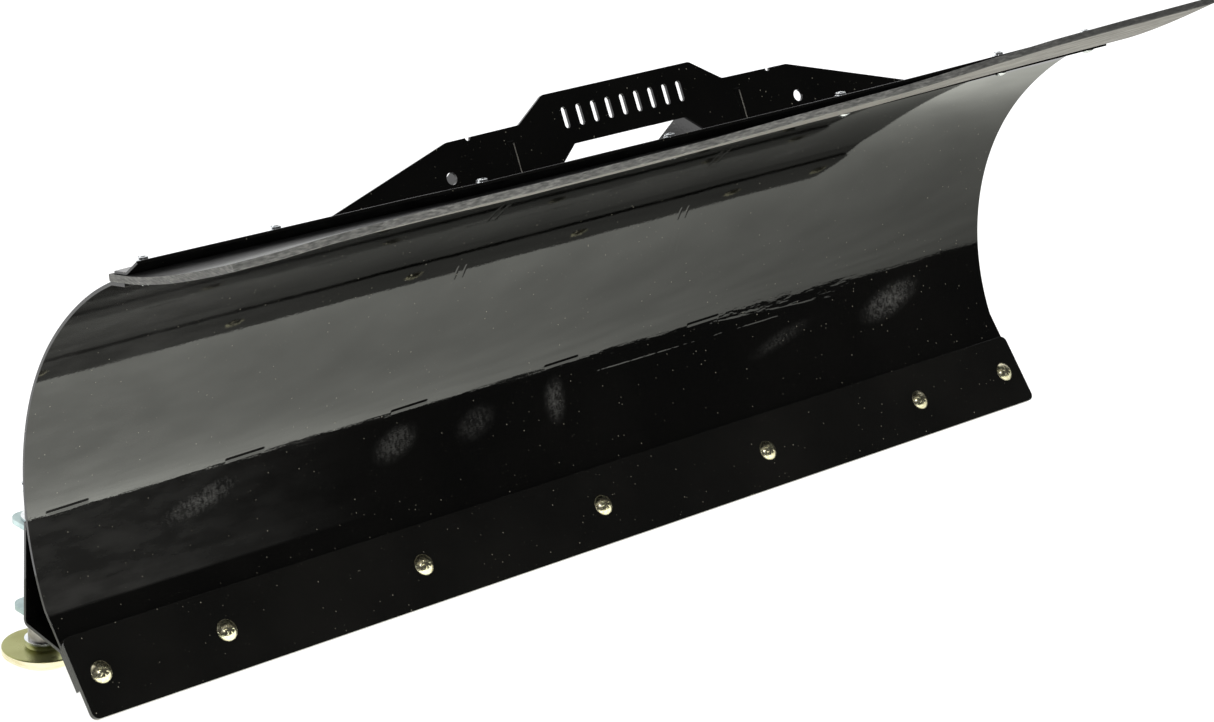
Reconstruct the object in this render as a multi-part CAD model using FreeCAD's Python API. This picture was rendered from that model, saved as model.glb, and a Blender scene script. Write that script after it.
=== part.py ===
import FreeCAD, Part
import math
import os

# Snow plow blade for an all-terrain vehicle: a rolled steel moldboard 48 inches wide, with a
# bolted wear bar, a rear channel, a rubber snow flap and two round skid feet on lynch pins.
# Frame: +X along the blade, the concave face looks along -Y, +Z is up. All sizes in millimetres.

V = FreeCAD.Vector
AXIS_X = V(1, 0, 0)
AXIS_Y = V(0, 1, 0)
AXIS_Z = V(0, 0, 1)
INCH = 25.4

# ---------------------------------------------------------------- driving dimensions

# Overall width and sheet
blade_width = 48 * INCH
sheet = 3.0                     # 11 gauge sheet of moldboard, channel, retainer and top plate

# Wear bar, a 3 in by 3/16 in flat bar that leans back
bar_height = 3 * INCH
bar_thickness = 4.76
bar_lean = 40.3                 # degrees from upright
bar_corner = 7.0

# Moldboard: flat foot behind the wear bar, two rolled arcs and a flat lip.
# Headings are in degrees from upright, positive where the sheet runs to the rear as it rises.
foot_edge_up = 29.0             # lower edge of the sheet, measured up the wear bar's back
bend_up = 104.9                 # bend line at the top of the flat foot, same measure
roll_start = 28.2
roll_radius = 235.0
roll_change = -38.0
upper_radius = 300.0
crease_heading = -60.0
lip_heading = -78.5
lip_depth = 19.0

# Rear channel: an upright web, a floor and a flange behind the flat foot
web_top = 153.0
web_lean = -2.8
channel_floor_rear = 54.0
channel_floor_slope = 6.7
channel_bend = 3.0              # inside bend radius

# Wear bar bolts, 3/8 in carriage bolts with lock nuts
bolt_end_margin = 24.2          # outermost bolts, from the ends of the blade
bolt_spread = (0.0, 0.385, 0.7713, 1.0)     # the columns, as shares of the outermost one's place
bar_bolt_diameter = 9.5
bar_bolt_head = 20.6
bar_bolt_dome = 5.0
bar_bolt_length = 1.0 * INCH
bar_nut_flats = 14.3
bar_nut_height = 11.1

# Rubber flap: a flat strip clamped on the lip. In front of the lip it turns up on a short bend
# and then curls on one long arc.
flap_thickness = 6.35
flap_width = 7 * INCH
flap_overhang = 2.5             # behind the crease
flap_bend_length = 30.0
flap_bend_heading = -70.0
flap_end_heading = -60.0        # its front edge rises 30 degrees

# Retainer angle over the flap
retainer_inset = 1.6
retainer_setback = 3.9          # its rear edge, from the crease along the lip
retainer_foot = 17.3
retainer_leg = 21.0
retainer_bend = 31.0
retainer_radius = 2.0

# Flap bolts, 1/4 in carriage bolts from below with lock nuts on top
flap_bolt_setback = 12.5        # from the crease, along the lip
flap_bolt_diameter = 6.35
flap_bolt_head = 15.1
flap_bolt_dome = 3.7
flap_bolt_length = 22.2
flap_nut_flats = 11.1
flap_nut_height = 7.9

# Top plate: a flat cut plate welded edge-on to the moldboard's back
plate_lean = 27.3
plate_stand_y = -6.2            # where its front face stands on the sheet
plate_half_base = 408.0
plate_shoulder = (213.9, 54.3)
plate_valley = (127.9, 55.0)
plate_crest = (92.2, 77.0)
plate_corner = 8.0
window_half_base = 104.0
window_top = (69.8, 26.8)
window_corner = 3.0
spring_hole_place = (218.2, 22.0)
spring_hole_diameter = 11.5
notch_place = 188.5
notch_radius = 3.0
slot_count = 9
slot_pitch = 18.0
slot_width = 6.0
slot_height = 20.0
slot_middle = 52.0

# Main ribs and inner lugs, 3/16 in plate, with the pivot bores of the push frame
rib_thickness = 4.76
rib_place = 142.4
rib_tab_top = 41.0              # height of its tab on the top plate
rib_slot_gap = 1.2
rib_head = (59.0, 425.0)
rib_slope = 38.6                # its back edge falls to the rear by this angle from upright
rib_back = 166.0
rib_foot = 66.0
rib_corner = 12.0
pivot_y = 142.0
pivot_z = 102.0
pivot_bore = 16.3
clevis_gap = 51.5
lug_top = 142.0

# Skid feet
post_end_margin = 29.6          # the posts, from the ends of the blade
post_y = 122.6
post_diameter = 15.875
dome_radius = 36.9
dome_depth = 13.6
dome_rim = 6.4
rim_round = 1.2
neck_diameter = 25.0
neck_fillet = 3.0
washer_diameter = 33.3
washer_thickness = 2.4
washer_bore = 17.0
spacer_diameter = 26.7
spacer_bore = 17.0
spacer_length = 27.5            # the same tube below and above the ears
axial_play = 0.3
post_above_pin = 8.0

# Skid ears, 3/16 in plates welded to the web
ear_thickness = 4.76
ear_width = 42.0
ear_rear_margin = 20.7
ear_corner = 12.7
lower_ear_top = 59.6
upper_ear_top = 142.4
ear_bore_gap = 0.3

# Lynch pin and its ring, in the pin's own lengths from the post's axis
pin_diameter = 6.35
pin_gap = 0.3
pin_tail = 15.9
pin_tip_chamfer = 1.2
head_diameter = 9.0
head_length = 5.4
head_middle = 16.2
ring_radius = 17.8
ring_wire = 2.4
ring_eye_gap = 0.3
ring_end_gap = 1.0
ring_roll = 17.0                # the ring's plane hangs down by this angle at the rear

# Weld beads
bead_radius = 3.0
channel_bead_length = 45.0
channel_bead_radius = 3.6
channel_bead_reach = 0.94        # the outermost beads, as a share of half the blade's width
channel_bead_pairs = 3
rib_bead_starts = (2.0, -13.0, -28.0, -42.0)
rib_bead_sweep = 8.0
ear_bead_margin = 6.0
plate_bead_places = (167.0, 222.0, 277.0, 332.0)
plate_bead_length = 30.0

# ---------------------------------------------------------------- plane geometry helpers


def heading(degrees):
    """Unit (y, z) direction that rises at this angle from upright."""
    angle = math.radians(degrees)
    return math.sin(angle), math.cos(angle)


def rearward(degrees):
    """Unit (y, z) normal on the rear side of a sheet with this heading."""
    angle = math.radians(degrees)
    return math.cos(angle), -math.sin(angle)


def shifted(point, direction, distance):
    return point[0] + direction[0] * distance, point[1] + direction[1] * distance


def crossing(point_a, heading_a, point_b, heading_b):
    """Where two lines, each a point and a heading, cross in the YZ plane."""
    ay, az = heading(heading_a)
    by, bz = heading(heading_b)
    dy = point_b[0] - point_a[0]
    dz = point_b[1] - point_a[1]
    reach = (dy * bz - dz * by) / (ay * bz - az * by)
    return shifted(point_a, (ay, az), reach)


def at_x(point, x=0.0):
    return V(x, point[0], point[1])


def rounded_wire(points, radii):
    """Closed wire through 3-D points, with each corner rounded by its own radius."""
    corners = []
    count = len(points)
    for index, point in enumerate(points):
        back = (points[index - 1] - point).normalize()
        ahead = (points[(index + 1) % count] - point).normalize()
        radius = radii[index]
        if radius == 0:
            corners.append((point, None, point))
            continue
        half = back.getAngle(ahead) / 2
        reach = radius / math.tan(half)
        bisector = (back + ahead).normalize()
        centre = point + bisector * (radius / math.sin(half))
        corners.append((point + back * reach, centre - bisector * radius, point + ahead * reach))
    edges = []
    for index, (start, middle, end) in enumerate(corners):
        if middle is not None:
            edges.append(Part.Arc(start, middle, end).toShape())
        following = corners[(index + 1) % count][0]
        if end.distanceToPoint(following) > 1e-6:
            edges.append(Part.LineSegment(end, following).toShape())
    return Part.Wire(edges)


def slab(wire, direction):
    return Part.Face(wire).extrude(direction)


def along_blade(points, radii, low_x, high_x):
    """Prism along X from an outline of (y, z) points."""
    wire = rounded_wire([at_x(point, low_x) for point in points], radii)
    return slab(wire, AXIS_X * (high_x - low_x))


def pointed(shape, origin, direction):
    """Turn a shape from +Z to a direction and move its origin to a place."""
    placed = shape.copy()
    placed.Placement = FreeCAD.Placement(origin, FreeCAD.Rotation(AXIS_Z, direction))
    return placed


def columns():
    """X of each bolt, from left to right."""
    outermost = half_width - bolt_end_margin
    return sorted({side * share * outermost for side in (-1, 1) for share in bolt_spread})


def export(name, solids):
    shape = solids[0] if len(solids) == 1 else Part.makeCompound(solids)
    shape.exportStep("parts/" + name + ".step")
    print(name, len(shape.Solids), "solids, volume", round(shape.Volume), "valid", shape.isValid())


# ---------------------------------------------------------------- moldboard section

half_width = blade_width / 2
post_x = half_width - post_end_margin
bar_up = heading(bar_lean)
bar_rearward = rearward(bar_lean)
bar_front_low = (0.0, -bar_rearward[1] * bar_thickness)
bar_back_low = shifted(bar_front_low, bar_rearward, bar_thickness)

foot_low = shifted(bar_back_low, bar_up, foot_edge_up)
bend = shifted(bar_back_low, bar_up, bend_up)
roll_centre = shifted(bend, rearward(roll_start), -roll_radius)
change = shifted(roll_centre, rearward(roll_change), roll_radius)
upper_centre = shifted(change, rearward(roll_change), -upper_radius)
crease = shifted(upper_centre, rearward(crease_heading), upper_radius)
lip_edge = shifted(crease, heading(lip_heading), lip_depth)


def roll_point(angle, offset):
    return shifted(roll_centre, rearward(angle), roll_radius + offset)


def upper_point(angle, offset):
    return shifted(upper_centre, rearward(angle), upper_radius + offset)


def section_edges(offset, x):
    """Edges of the moldboard's section from its lower edge to its lip, offset to the rear."""
    low = shifted(foot_low, bar_rearward, offset)
    kink = (bar_lean - roll_start) / 2
    at_bend = shifted(bend, rearward(bar_lean - kink), offset / math.cos(math.radians(kink)))
    roll_middle = roll_point((roll_start + roll_change) / 2, offset)
    at_change = roll_point(roll_change, offset)
    upper_middle = upper_point((roll_change + crease_heading) / 2, offset)
    fold = (crease_heading - lip_heading) / 2
    at_crease = shifted(crease, rearward(crease_heading - fold), offset / math.cos(math.radians(fold)))
    tip = shifted(lip_edge, rearward(lip_heading), offset)
    return [
        Part.LineSegment(at_x(low, x), at_x(at_bend, x)).toShape(),
        Part.Arc(at_x(at_bend, x), at_x(roll_middle, x), at_x(at_change, x)).toShape(),
        Part.Arc(at_x(at_change, x), at_x(upper_middle, x), at_x(at_crease, x)).toShape(),
        Part.LineSegment(at_x(at_crease, x), at_x(tip, x)).toShape(),
    ]


def closed_prism(chain, extra_points, low_x, length):
    """Prism from a chain of edges, closed through further points back to its start."""
    stops = [chain[-1].Vertexes[-1].Point] + extra_points + [chain[0].Vertexes[0].Point]
    closing = [Part.LineSegment(a, b).toShape() for a, b in zip(stops, stops[1:])]
    return slab(Part.Wire(chain + closing), AXIS_X * length)


def moldboard_blank():
    front = section_edges(0.0, -half_width)
    rear = section_edges(sheet, -half_width)
    ends = [
        Part.LineSegment(front[-1].Vertexes[-1].Point, rear[-1].Vertexes[-1].Point).toShape(),
        Part.LineSegment(front[0].Vertexes[0].Point, rear[0].Vertexes[0].Point).toShape(),
    ]
    wire = Part.Wire(Part.__sortEdges__(front + rear + ends))
    return slab(wire, AXIS_X * blade_width)


def space_before_moldboard():
    """Everything in front of the moldboard's rear face, to trim what is welded behind it."""
    reach = blade_width
    x = -reach
    rear = section_edges(sheet, x)
    far = [V(x, -reach, reach), V(x, -reach, -reach), V(x, foot_low[0], -reach)]
    return closed_prism(rear, far, x, 2 * reach)


# ---------------------------------------------------------------- channel section

web_top_front = (roll_centre[0] + math.sqrt((roll_radius + sheet) ** 2 - (web_top - roll_centre[1]) ** 2),
                 web_top)
web_top_rear = shifted(web_top_front, rearward(web_lean), sheet)
web_low_rear = shifted(web_top_rear, heading(web_lean),
                       (channel_floor_rear - web_top_rear[1]) / heading(web_lean)[1])
floor_heading = 90 - channel_floor_slope
flange_rear_low = shifted(foot_low, bar_rearward, 2 * sheet)
floor_front = crossing(web_low_rear, floor_heading, flange_rear_low, bar_lean)


def channel_outline():
    """Closed outline of the bent sheet, outside first and then inside."""
    inner_web = shifted(web_low_rear, rearward(web_lean), -sheet)
    floor_up = (-heading(floor_heading)[1], heading(floor_heading)[0])
    inner_floor = shifted(web_low_rear, floor_up, sheet)
    inner_corner = crossing(inner_web, web_lean, inner_floor, floor_heading)
    inner_flange = shifted(foot_low, bar_rearward, sheet)
    inner_front = crossing(inner_floor, floor_heading, inner_flange, bar_lean)
    points = [web_top_rear, web_low_rear, floor_front, flange_rear_low,
              inner_flange, inner_front, inner_corner, web_top_front]
    outside = channel_bend + sheet
    radii = [0, outside, channel_bend, 0, 0, outside, channel_bend, 0]
    return points, radii


def channel_space():
    """Everything in front of the channel's outside, to trim what is welded behind it."""
    reach = blade_width
    points = [web_top_rear, web_low_rear, floor_front, flange_rear_low, (foot_low[0], web_top)]
    radii = [0, channel_bend + sheet, channel_bend, 0, 0]
    return along_blade(points, radii, -reach, reach)


def web_rear_y(z):
    return web_top_rear[0] + (z - web_top_rear[1]) * math.tan(math.radians(web_lean))


# ---------------------------------------------------------------- fasteners


def dome(radius, depth):
    """Spherical cap that rises from z = 0 to its depth."""
    sphere_radius = (radius ** 2 + depth ** 2) / (2 * depth)
    half_angle = math.asin(radius / sphere_radius) / 2
    middle = V(sphere_radius * math.sin(half_angle), 0,
               depth - sphere_radius * (1 - math.cos(half_angle)))
    arc = Part.Arc(V(radius, 0, 0), middle, V(0, 0, depth)).toShape()
    closing = [Part.LineSegment(V(0, 0, depth), V(0, 0, 0)).toShape(),
               Part.LineSegment(V(0, 0, 0), V(radius, 0, 0)).toShape()]
    return Part.Face(Part.Wire([arc] + closing)).revolve(V(0, 0, 0), AXIS_Z, 360)


def square_prism(side, height):
    return Part.makeBox(side, side, height, V(-side / 2, -side / 2, 0))


def hex_prism(flats, height):
    corner = flats / math.sqrt(3)
    points = [V(corner * math.cos(math.radians(60 * k + 30)), corner * math.sin(math.radians(60 * k + 30)), 0)
              for k in range(6)]
    return Part.Face(Part.makePolygon(points + points[:1])).extrude(AXIS_Z * height)


def carriage_bolt(diameter, head, cap, neck, length):
    """Bolt whose shank runs to +Z from the head's underside at z = 0."""
    cap_shape = dome(head / 2, cap)
    cap_shape.rotate(V(0, 0, 0), AXIS_X, 180)
    tip = diameter * 0.1
    shank = Part.makeCylinder(diameter / 2, length - tip)
    point = Part.makeCone(diameter / 2, diameter / 2 - tip, tip, V(0, 0, length - tip))
    return cap_shape.fuse([square_prism(diameter, neck), shank, point]).removeSplitter()


fastener_gap = 0.1              # between a thread and its nut, and round a square neck


def lock_nut(flats, height, diameter):
    """Hex nut with a narrower round crown that holds the lock ring."""
    hexagon_height = height * 0.7
    crown = Part.makeCylinder(flats * 0.44, height)
    bore = Part.makeCylinder(diameter / 2 + fastener_gap, height)
    chamfer = Part.makeCone(flats * 0.72, flats * 0.5, hexagon_height)
    hexagon = hex_prism(flats, hexagon_height).common(chamfer)
    return hexagon.fuse(crown).cut(bore).removeSplitter()


bar_bolt_point = shifted(bar_front_low, bar_up, bar_height / 2)
bar_bolt_direction = at_x(bar_rearward)
bar_stack = bar_thickness + 2 * sheet


def at_bar_bolts(shape, depth):
    """Copies of a shape at the wear bar bolts, this far behind the bar's front face."""
    place = shifted(bar_bolt_point, bar_rearward, depth)
    return [pointed(shape, at_x(place, x), bar_bolt_direction) for x in columns()]


def flap_place(along, up):
    """Point on the lip: distance from the crease along it, and height over its top face."""
    low = shifted(crease, rearward(lip_heading), sheet)
    return shifted(shifted(low, heading(lip_heading), along), rearward(lip_heading), up)


def at_flap_bolts(shape, up):
    """Copies of a shape at the flap bolts, this far above the lip's top face."""
    place = flap_place(flap_bolt_setback, up)
    return [pointed(shape, at_x(place, x), at_x(rearward(lip_heading))) for x in columns()]


flap_stack = flap_thickness + sheet


def flap_bolt_holes(clearance):
    radius = flap_bolt_diameter / 2 + clearance
    return at_flap_bolts(Part.makeCylinder(radius, 3 * flap_stack, V(0, 0, -flap_stack)), 0)


# ---------------------------------------------------------------- sheet parts

hole_clearance = 0.5


def make_moldboard():
    neck = square_prism(flap_bolt_diameter + 2 * fastener_gap, 2 * sheet)
    cuts = at_flap_bolts(neck, -1.5 * sheet)
    cuts += at_bar_bolts(Part.makeCylinder(bar_bolt_diameter / 2 + hole_clearance, 3 * bar_stack), -bar_stack)
    return moldboard_blank().cut(cuts)


def make_wear_bar():
    top = bar_height
    corners = [(-half_width, 0), (half_width, 0), (half_width, top), (-half_width, top)]
    points = [at_x(shifted(bar_front_low, bar_up, up), x) for x, up in corners]
    plate = slab(rounded_wire(points, [bar_corner] * 4), at_x(bar_rearward) * bar_thickness)
    neck = square_prism(bar_bolt_diameter + 2 * fastener_gap, 2 * bar_thickness)
    return plate.cut(at_bar_bolts(neck, -bar_thickness / 2))


def make_channel(moldboard):
    points, radii = channel_outline()
    body = along_blade(points, radii, -half_width, half_width).cut(moldboard)
    return body.cut(at_bar_bolts(Part.makeCylinder(bar_bolt_diameter / 2 + hole_clearance, 3 * bar_stack), 0))


def curl(start, heading_a, heading_b, length):
    """Arc of a strip's lower face from a point, turning from one heading to the other."""
    radius = length / math.radians(heading_b - heading_a)
    centre = shifted(start, rearward(heading_a), radius)

    def point(angle, up):
        return shifted(centre, rearward(angle), up - radius)

    return point


def arc_through(point, heading_a, heading_b, up, x):
    angles = (heading_a, (heading_a + heading_b) / 2, heading_b)
    return Part.Arc(*[at_x(point(angle, up), x) for angle in angles]).toShape()


def make_flap():
    """Strip clamped flat on the lip, with a free part that curls up in front."""
    x = -half_width
    long_length = flap_width - flap_overhang - lip_depth - flap_bend_length
    bend_arc = curl(flap_place(lip_depth, 0), lip_heading, flap_bend_heading, flap_bend_length)
    long_arc = curl(bend_arc(flap_bend_heading, 0), flap_bend_heading, flap_end_heading, long_length)

    def face(up):
        return [
            Part.LineSegment(at_x(flap_place(-flap_overhang, up), x), at_x(flap_place(lip_depth, up), x)).toShape(),
            arc_through(bend_arc, lip_heading, flap_bend_heading, up, x),
            arc_through(long_arc, flap_bend_heading, flap_end_heading, up, x),
        ]

    low, high = face(0), face(flap_thickness)
    ends = [
        Part.LineSegment(at_x(flap_place(-flap_overhang, 0), x),
                         at_x(flap_place(-flap_overhang, flap_thickness), x)).toShape(),
        Part.LineSegment(at_x(long_arc(flap_end_heading, 0), x),
                         at_x(long_arc(flap_end_heading, flap_thickness), x)).toShape(),
    ]
    wire = Part.Wire(Part.__sortEdges__(low + high + ends))
    return slab(wire, AXIS_X * blade_width).cut(flap_bolt_holes(hole_clearance))


def make_retainer():
    """Bent strip: a foot on the flap and a leg that leans forward over it."""
    leg_heading = lip_heading + retainer_bend
    foot_rear = flap_place(retainer_setback, flap_thickness)
    knee = shifted(foot_rear, heading(lip_heading), retainer_foot)
    leg_top = shifted(knee, heading(leg_heading), retainer_leg)
    foot_rear_high = shifted(foot_rear, rearward(lip_heading), sheet)
    leg_top_high = shifted(leg_top, rearward(leg_heading), sheet)
    knee_high = crossing(foot_rear_high, lip_heading, leg_top_high, leg_heading)
    points = [foot_rear, knee, leg_top, leg_top_high, knee_high, foot_rear_high]
    radii = [0, retainer_radius + sheet, 0, 0, retainer_radius, 0]
    end = half_width - retainer_inset
    return along_blade(points, radii, -end, end).cut(flap_bolt_holes(hole_clearance))


# ---------------------------------------------------------------- top plate and ribs

plate_stand = (plate_stand_y,
               upper_centre[1] + math.sqrt((upper_radius + sheet) ** 2 - (plate_stand_y - upper_centre[0]) ** 2))


def on_plate(x, height, depth=0.0):
    """Point on the top plate: height up its front face, and depth behind that face."""
    return at_x(shifted(shifted(plate_stand, heading(plate_lean), height), rearward(plate_lean), depth), x)


def plate_cutter(outline, radii):
    """Prism through the top plate from an outline of (x, height) points."""
    wire = rounded_wire([on_plate(x, height, -sheet) for x, height in outline], radii)
    return slab(wire, at_x(rearward(plate_lean)) * (3 * sheet))


def plate_drill(x, height, diameter):
    drill = Part.makeCylinder(diameter / 2, 3 * sheet)
    return pointed(drill, on_plate(x, height, -sheet), at_x(rearward(plate_lean)))


def make_top_plate(front_space):
    seat = -sheet
    half = [(plate_half_base, 0), plate_shoulder, plate_valley, plate_crest]
    outline = [(plate_half_base, seat)] + half + [(-x, h) for x, h in reversed(half)] + [(-plate_half_base, seat)]
    radii = [0, 0] + [plate_corner] * 6 + [0, 0]
    wire = rounded_wire([on_plate(x, height) for x, height in outline], radii)
    plate = slab(wire, at_x(rearward(plate_lean)) * sheet)
    flare = (window_half_base - window_top[0]) / window_top[1]
    wide = window_half_base + 2 * sheet * flare
    window = [(wide, -2 * sheet), window_top, (-window_top[0], window_top[1]), (-wide, -2 * sheet)]
    cuts = [plate_cutter(window, [0, window_corner, window_corner, 0])]
    reach = rib_thickness / 2 + rib_slot_gap
    for side in (-1, 1):
        cuts.append(plate_drill(side * spring_hole_place[0], spring_hole_place[1], spring_hole_diameter))
        edge_height = plate_shoulder[1] + (plate_shoulder[0] - notch_place) / (
            plate_shoulder[0] - plate_valley[0]) * (plate_valley[1] - plate_shoulder[1])
        cuts.append(plate_drill(side * notch_place, edge_height, 2 * notch_radius))
        low_x, high_x = side * rib_place - reach, side * rib_place + reach
        slot = [(low_x, -2 * sheet), (high_x, -2 * sheet),
                (high_x, rib_tab_top + rib_slot_gap), (low_x, rib_tab_top + rib_slot_gap)]
        cuts.append(plate_cutter(slot, [0, 0, 0, 0]))
    for index in range(slot_count):
        x = (index - (slot_count - 1) / 2) * slot_pitch
        low, high = slot_middle - slot_height / 2, slot_middle + slot_height / 2
        half_slot = slot_width / 2
        outline = [(x - half_slot, low), (x + half_slot, low), (x + half_slot, high), (x - half_slot, high)]
        cuts.append(plate_cutter(outline, [half_slot * 0.98] * 4))
    return plate.cut(cuts).cut(front_space)


def pivot_drill():
    return Part.makeCylinder(pivot_bore / 2, blade_width, V(-half_width, pivot_y, pivot_z), AXIS_X)


def make_rib(side, trims):
    """Upright rib from the channel to the top plate, with a tab through the plate's slot."""
    tab_high = shifted(plate_stand, heading(plate_lean), rib_tab_top)
    tab_low = shifted(plate_stand, heading(plate_lean), -sheet)
    behind = shifted(tab_high, rearward(plate_lean), sheet)
    slope_fall = (rib_back - rib_head[0]) / math.tan(math.radians(rib_slope))
    back_high = (rib_back, rib_head[1] - slope_fall)
    points = [tab_low, tab_high, behind, rib_head, back_high, (rib_back, rib_foot),
              (roll_centre[0] + roll_radius / 2, rib_foot), (roll_centre[0] + roll_radius / 2, tab_low[1])]
    radii = [0, 0, 0, rib_corner, rib_corner, rib_corner, 0, 0]
    middle = side * rib_place
    blank = along_blade(points, radii, middle - rib_thickness / 2, middle + rib_thickness / 2)
    return largest(blank.cut(trims).cut(pivot_drill()))


def make_lug(side, trims):
    """Short inner plate that forms a clevis with the rib."""
    middle = side * (rib_place - rib_thickness - clevis_gap)
    front = web_low_rear[0] - 3 * sheet
    points = [(front, rib_foot), (rib_back, rib_foot), (rib_back, lug_top), (front, lug_top)]
    radii = [0, rib_corner, 2 * rib_corner, 0]
    blank = along_blade(points, radii, middle - rib_thickness / 2, middle + rib_thickness / 2)
    return largest(blank.cut(trims).cut(pivot_drill()))


def largest(shape):
    return max(shape.Solids, key=lambda solid: solid.Volume)


# ---------------------------------------------------------------- skid feet

neck_top = lower_ear_top - ear_thickness - axial_play - spacer_length - washer_thickness
rim_top = dome_depth + dome_rim
upper_washer_low = upper_ear_top + axial_play
upper_spacer_low = upper_washer_low + washer_thickness
pin_height = upper_spacer_low + spacer_length + axial_play + pin_diameter / 2
post_top = pin_height + post_above_pin


def ring_of(outer, bore, low, height, x):
    body = Part.makeCylinder(outer / 2, height, V(x, post_y, low))
    return body.cut(Part.makeCylinder(bore / 2, height, V(x, post_y, low)))


def make_ear(side, top, trims):
    x = side * post_x
    front = web_low_rear[0] - 3 * sheet
    rear = post_y + ear_rear_margin
    low_x, high_x = x - ear_width / 2, x + ear_width / 2
    z = top - ear_thickness
    points = [V(low_x, front, z), V(high_x, front, z), V(high_x, rear, z), V(low_x, rear, z)]
    plate = slab(rounded_wire(points, [0, 0, ear_corner, ear_corner]), AXIS_Z * ear_thickness)
    bore = Part.makeCylinder(post_diameter / 2 + ear_bore_gap, ear_thickness, V(x, post_y, z))
    return largest(plate.cut(trims).cut(bore))


def make_foot(side):
    """Round domed foot with a neck and a long post, turned from one piece."""
    x = side * post_x
    cap = dome(dome_radius, dome_depth)
    cap.rotate(V(0, 0, 0), AXIS_X, 180)
    cap.translate(V(x, post_y, dome_depth))
    rim = Part.makeCylinder(dome_radius, dome_rim, V(x, post_y, dome_depth))
    rim = rim.makeFillet(rim_round, [edge for edge in rim.Edges if abs(edge.CenterOfMass.z - rim_top) < 1e-6
                                     and len(edge.Vertexes) == 1])
    neck = Part.makeCylinder(neck_diameter / 2, neck_top - rim_top, V(x, post_y, rim_top))
    flare = Part.makeCone(neck_diameter / 2 + neck_fillet, neck_diameter / 2, neck_fillet, V(x, post_y, rim_top))
    chamfer = post_diameter * 0.08
    post = Part.makeCylinder(post_diameter / 2, post_top - chamfer - rim_top, V(x, post_y, rim_top))
    crown = Part.makeCone(post_diameter / 2, post_diameter / 2 - chamfer, chamfer,
                          V(x, post_y, post_top - chamfer))
    cross = Part.makeCylinder(pin_diameter / 2 + pin_gap, 2 * post_diameter,
                              V(x - post_diameter, post_y, pin_height), AXIS_X)
    return cap.fuse([rim, neck, flare, post, crown]).cut(cross).removeSplitter()


def pin_frame(shape, side):
    """Place a shape made with its head along +X onto a post, head outboard and ring rolled."""
    placed = shape.copy()
    placed.rotate(V(0, 0, 0), AXIS_X, -ring_roll)
    if side < 0:
        placed = placed.mirror(V(0, 0, 0), AXIS_X)
    placed.translate(V(side * post_x, post_y, pin_height))
    return placed


def make_lynch_pin():
    shank_length = head_middle - head_length / 2 + pin_tail
    shank = Part.makeCylinder(pin_diameter / 2, shank_length - pin_tip_chamfer,
                              V(pin_tip_chamfer - pin_tail, 0, 0), AXIS_X)
    tip = Part.makeCone(pin_diameter / 2 - pin_tip_chamfer, pin_diameter / 2, pin_tip_chamfer,
                        V(-pin_tail, 0, 0), AXIS_X)
    head = Part.makeCylinder(head_diameter / 2, head_length, V(head_middle - head_length / 2, 0, 0), AXIS_X)
    head = head.makeFillet(head_length * 0.18, [edge for edge in head.Edges if len(edge.Vertexes) == 1])
    eye = Part.makeCylinder(ring_wire / 2 + ring_eye_gap, 2 * head_diameter,
                            V(head_middle, -head_diameter, 0), AXIS_Y)
    return head.fuse([shank, tip]).cut(eye).removeSplitter()


def make_ring():
    """Wire ring round the post, its two ends turned into the eye of the pin's head."""
    end_half = math.sqrt(ring_radius ** 2 - head_middle ** 2)
    start = V(head_middle, end_half, 0)
    tangent = V(-start.y, start.x, 0)
    circle = Part.Wire([Part.Circle(start, tangent, ring_wire / 2).toShape()])
    sweep = 360 - 2 * math.degrees(math.atan2(end_half, head_middle))
    pieces = [Part.Face(circle).revolve(V(0, 0, 0), AXIS_Z, sweep)]
    for end in (-1, 1):
        stub = Part.makeCylinder(ring_wire / 2, end_half - ring_end_gap / 2,
                                 V(head_middle, end * ring_end_gap / 2, 0), AXIS_Y * end)
        pieces += [stub, Part.makeSphere(ring_wire / 2, V(head_middle, end * end_half, 0))]
    return pieces[0].fuse(pieces[1:]).removeSplitter()


# ---------------------------------------------------------------- weld beads


def rod(start, end, radius=bead_radius):
    """Bead along a straight corner."""
    run = end - start
    return Part.makeCylinder(radius, run.Length, start, run)


def make_channel_beads(trims):
    corner = web_top_front
    beads = []
    for index in range(-channel_bead_pairs, channel_bead_pairs + 1):
        x = index * half_width * channel_bead_reach / channel_bead_pairs
        low, high = at_x(corner, x - channel_bead_length / 2), at_x(corner, x + channel_bead_length / 2)
        bead = rod(low, high, channel_bead_radius)
        beads.append(largest(bead.cut(trims)))
    return beads


def make_rib_beads(trims):
    """Short beads on both faces of each rib, along the rolled sheet."""
    beads = []
    for side in (-1, 1):
        for face in (-1, 1):
            x = side * rib_place + face * rib_thickness / 2
            for start in rib_bead_starts:
                place = roll_point if start > roll_change else upper_point
                low, high = at_x(place(start, sheet), x), at_x(place(start - rib_bead_sweep, sheet), x)
                beads.append(largest(rod(low, high).cut(trims)))
    return beads


def make_plate_beads(trims):
    beads = []
    foot = on_plate(0, 0, sheet)
    for side in (-1, 1):
        for place in plate_bead_places:
            low = V(side * place - plate_bead_length / 2, foot.y, foot.z)
            high = V(side * place + plate_bead_length / 2, foot.y, foot.z)
            beads.append(largest(rod(low, high).cut(trims)))
    return beads


def make_ear_beads(trims):
    beads = []
    for side in (-1, 1):
        for top in (lower_ear_top, upper_ear_top):
            for z in (top - ear_thickness, top):
                if z > web_top or z < web_low_rear[1] + channel_bend + sheet:
                    continue
                half = ear_width / 2 - ear_bead_margin
                middle = V(side * post_x, web_rear_y(z), z)
                beads.append(largest(rod(middle - AXIS_X * half, middle + AXIS_X * half, bead_radius * 0.7)
                                     .cut(trims)))
    return beads


# ---------------------------------------------------------------- build and write

os.makedirs("parts", exist_ok=True)

flap_front_y = 0.0
moldboard = make_moldboard()
channel = make_channel(moldboard)
front_space = space_before_moldboard()
trims = [front_space, channel_space()]
flap = make_flap()

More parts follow.
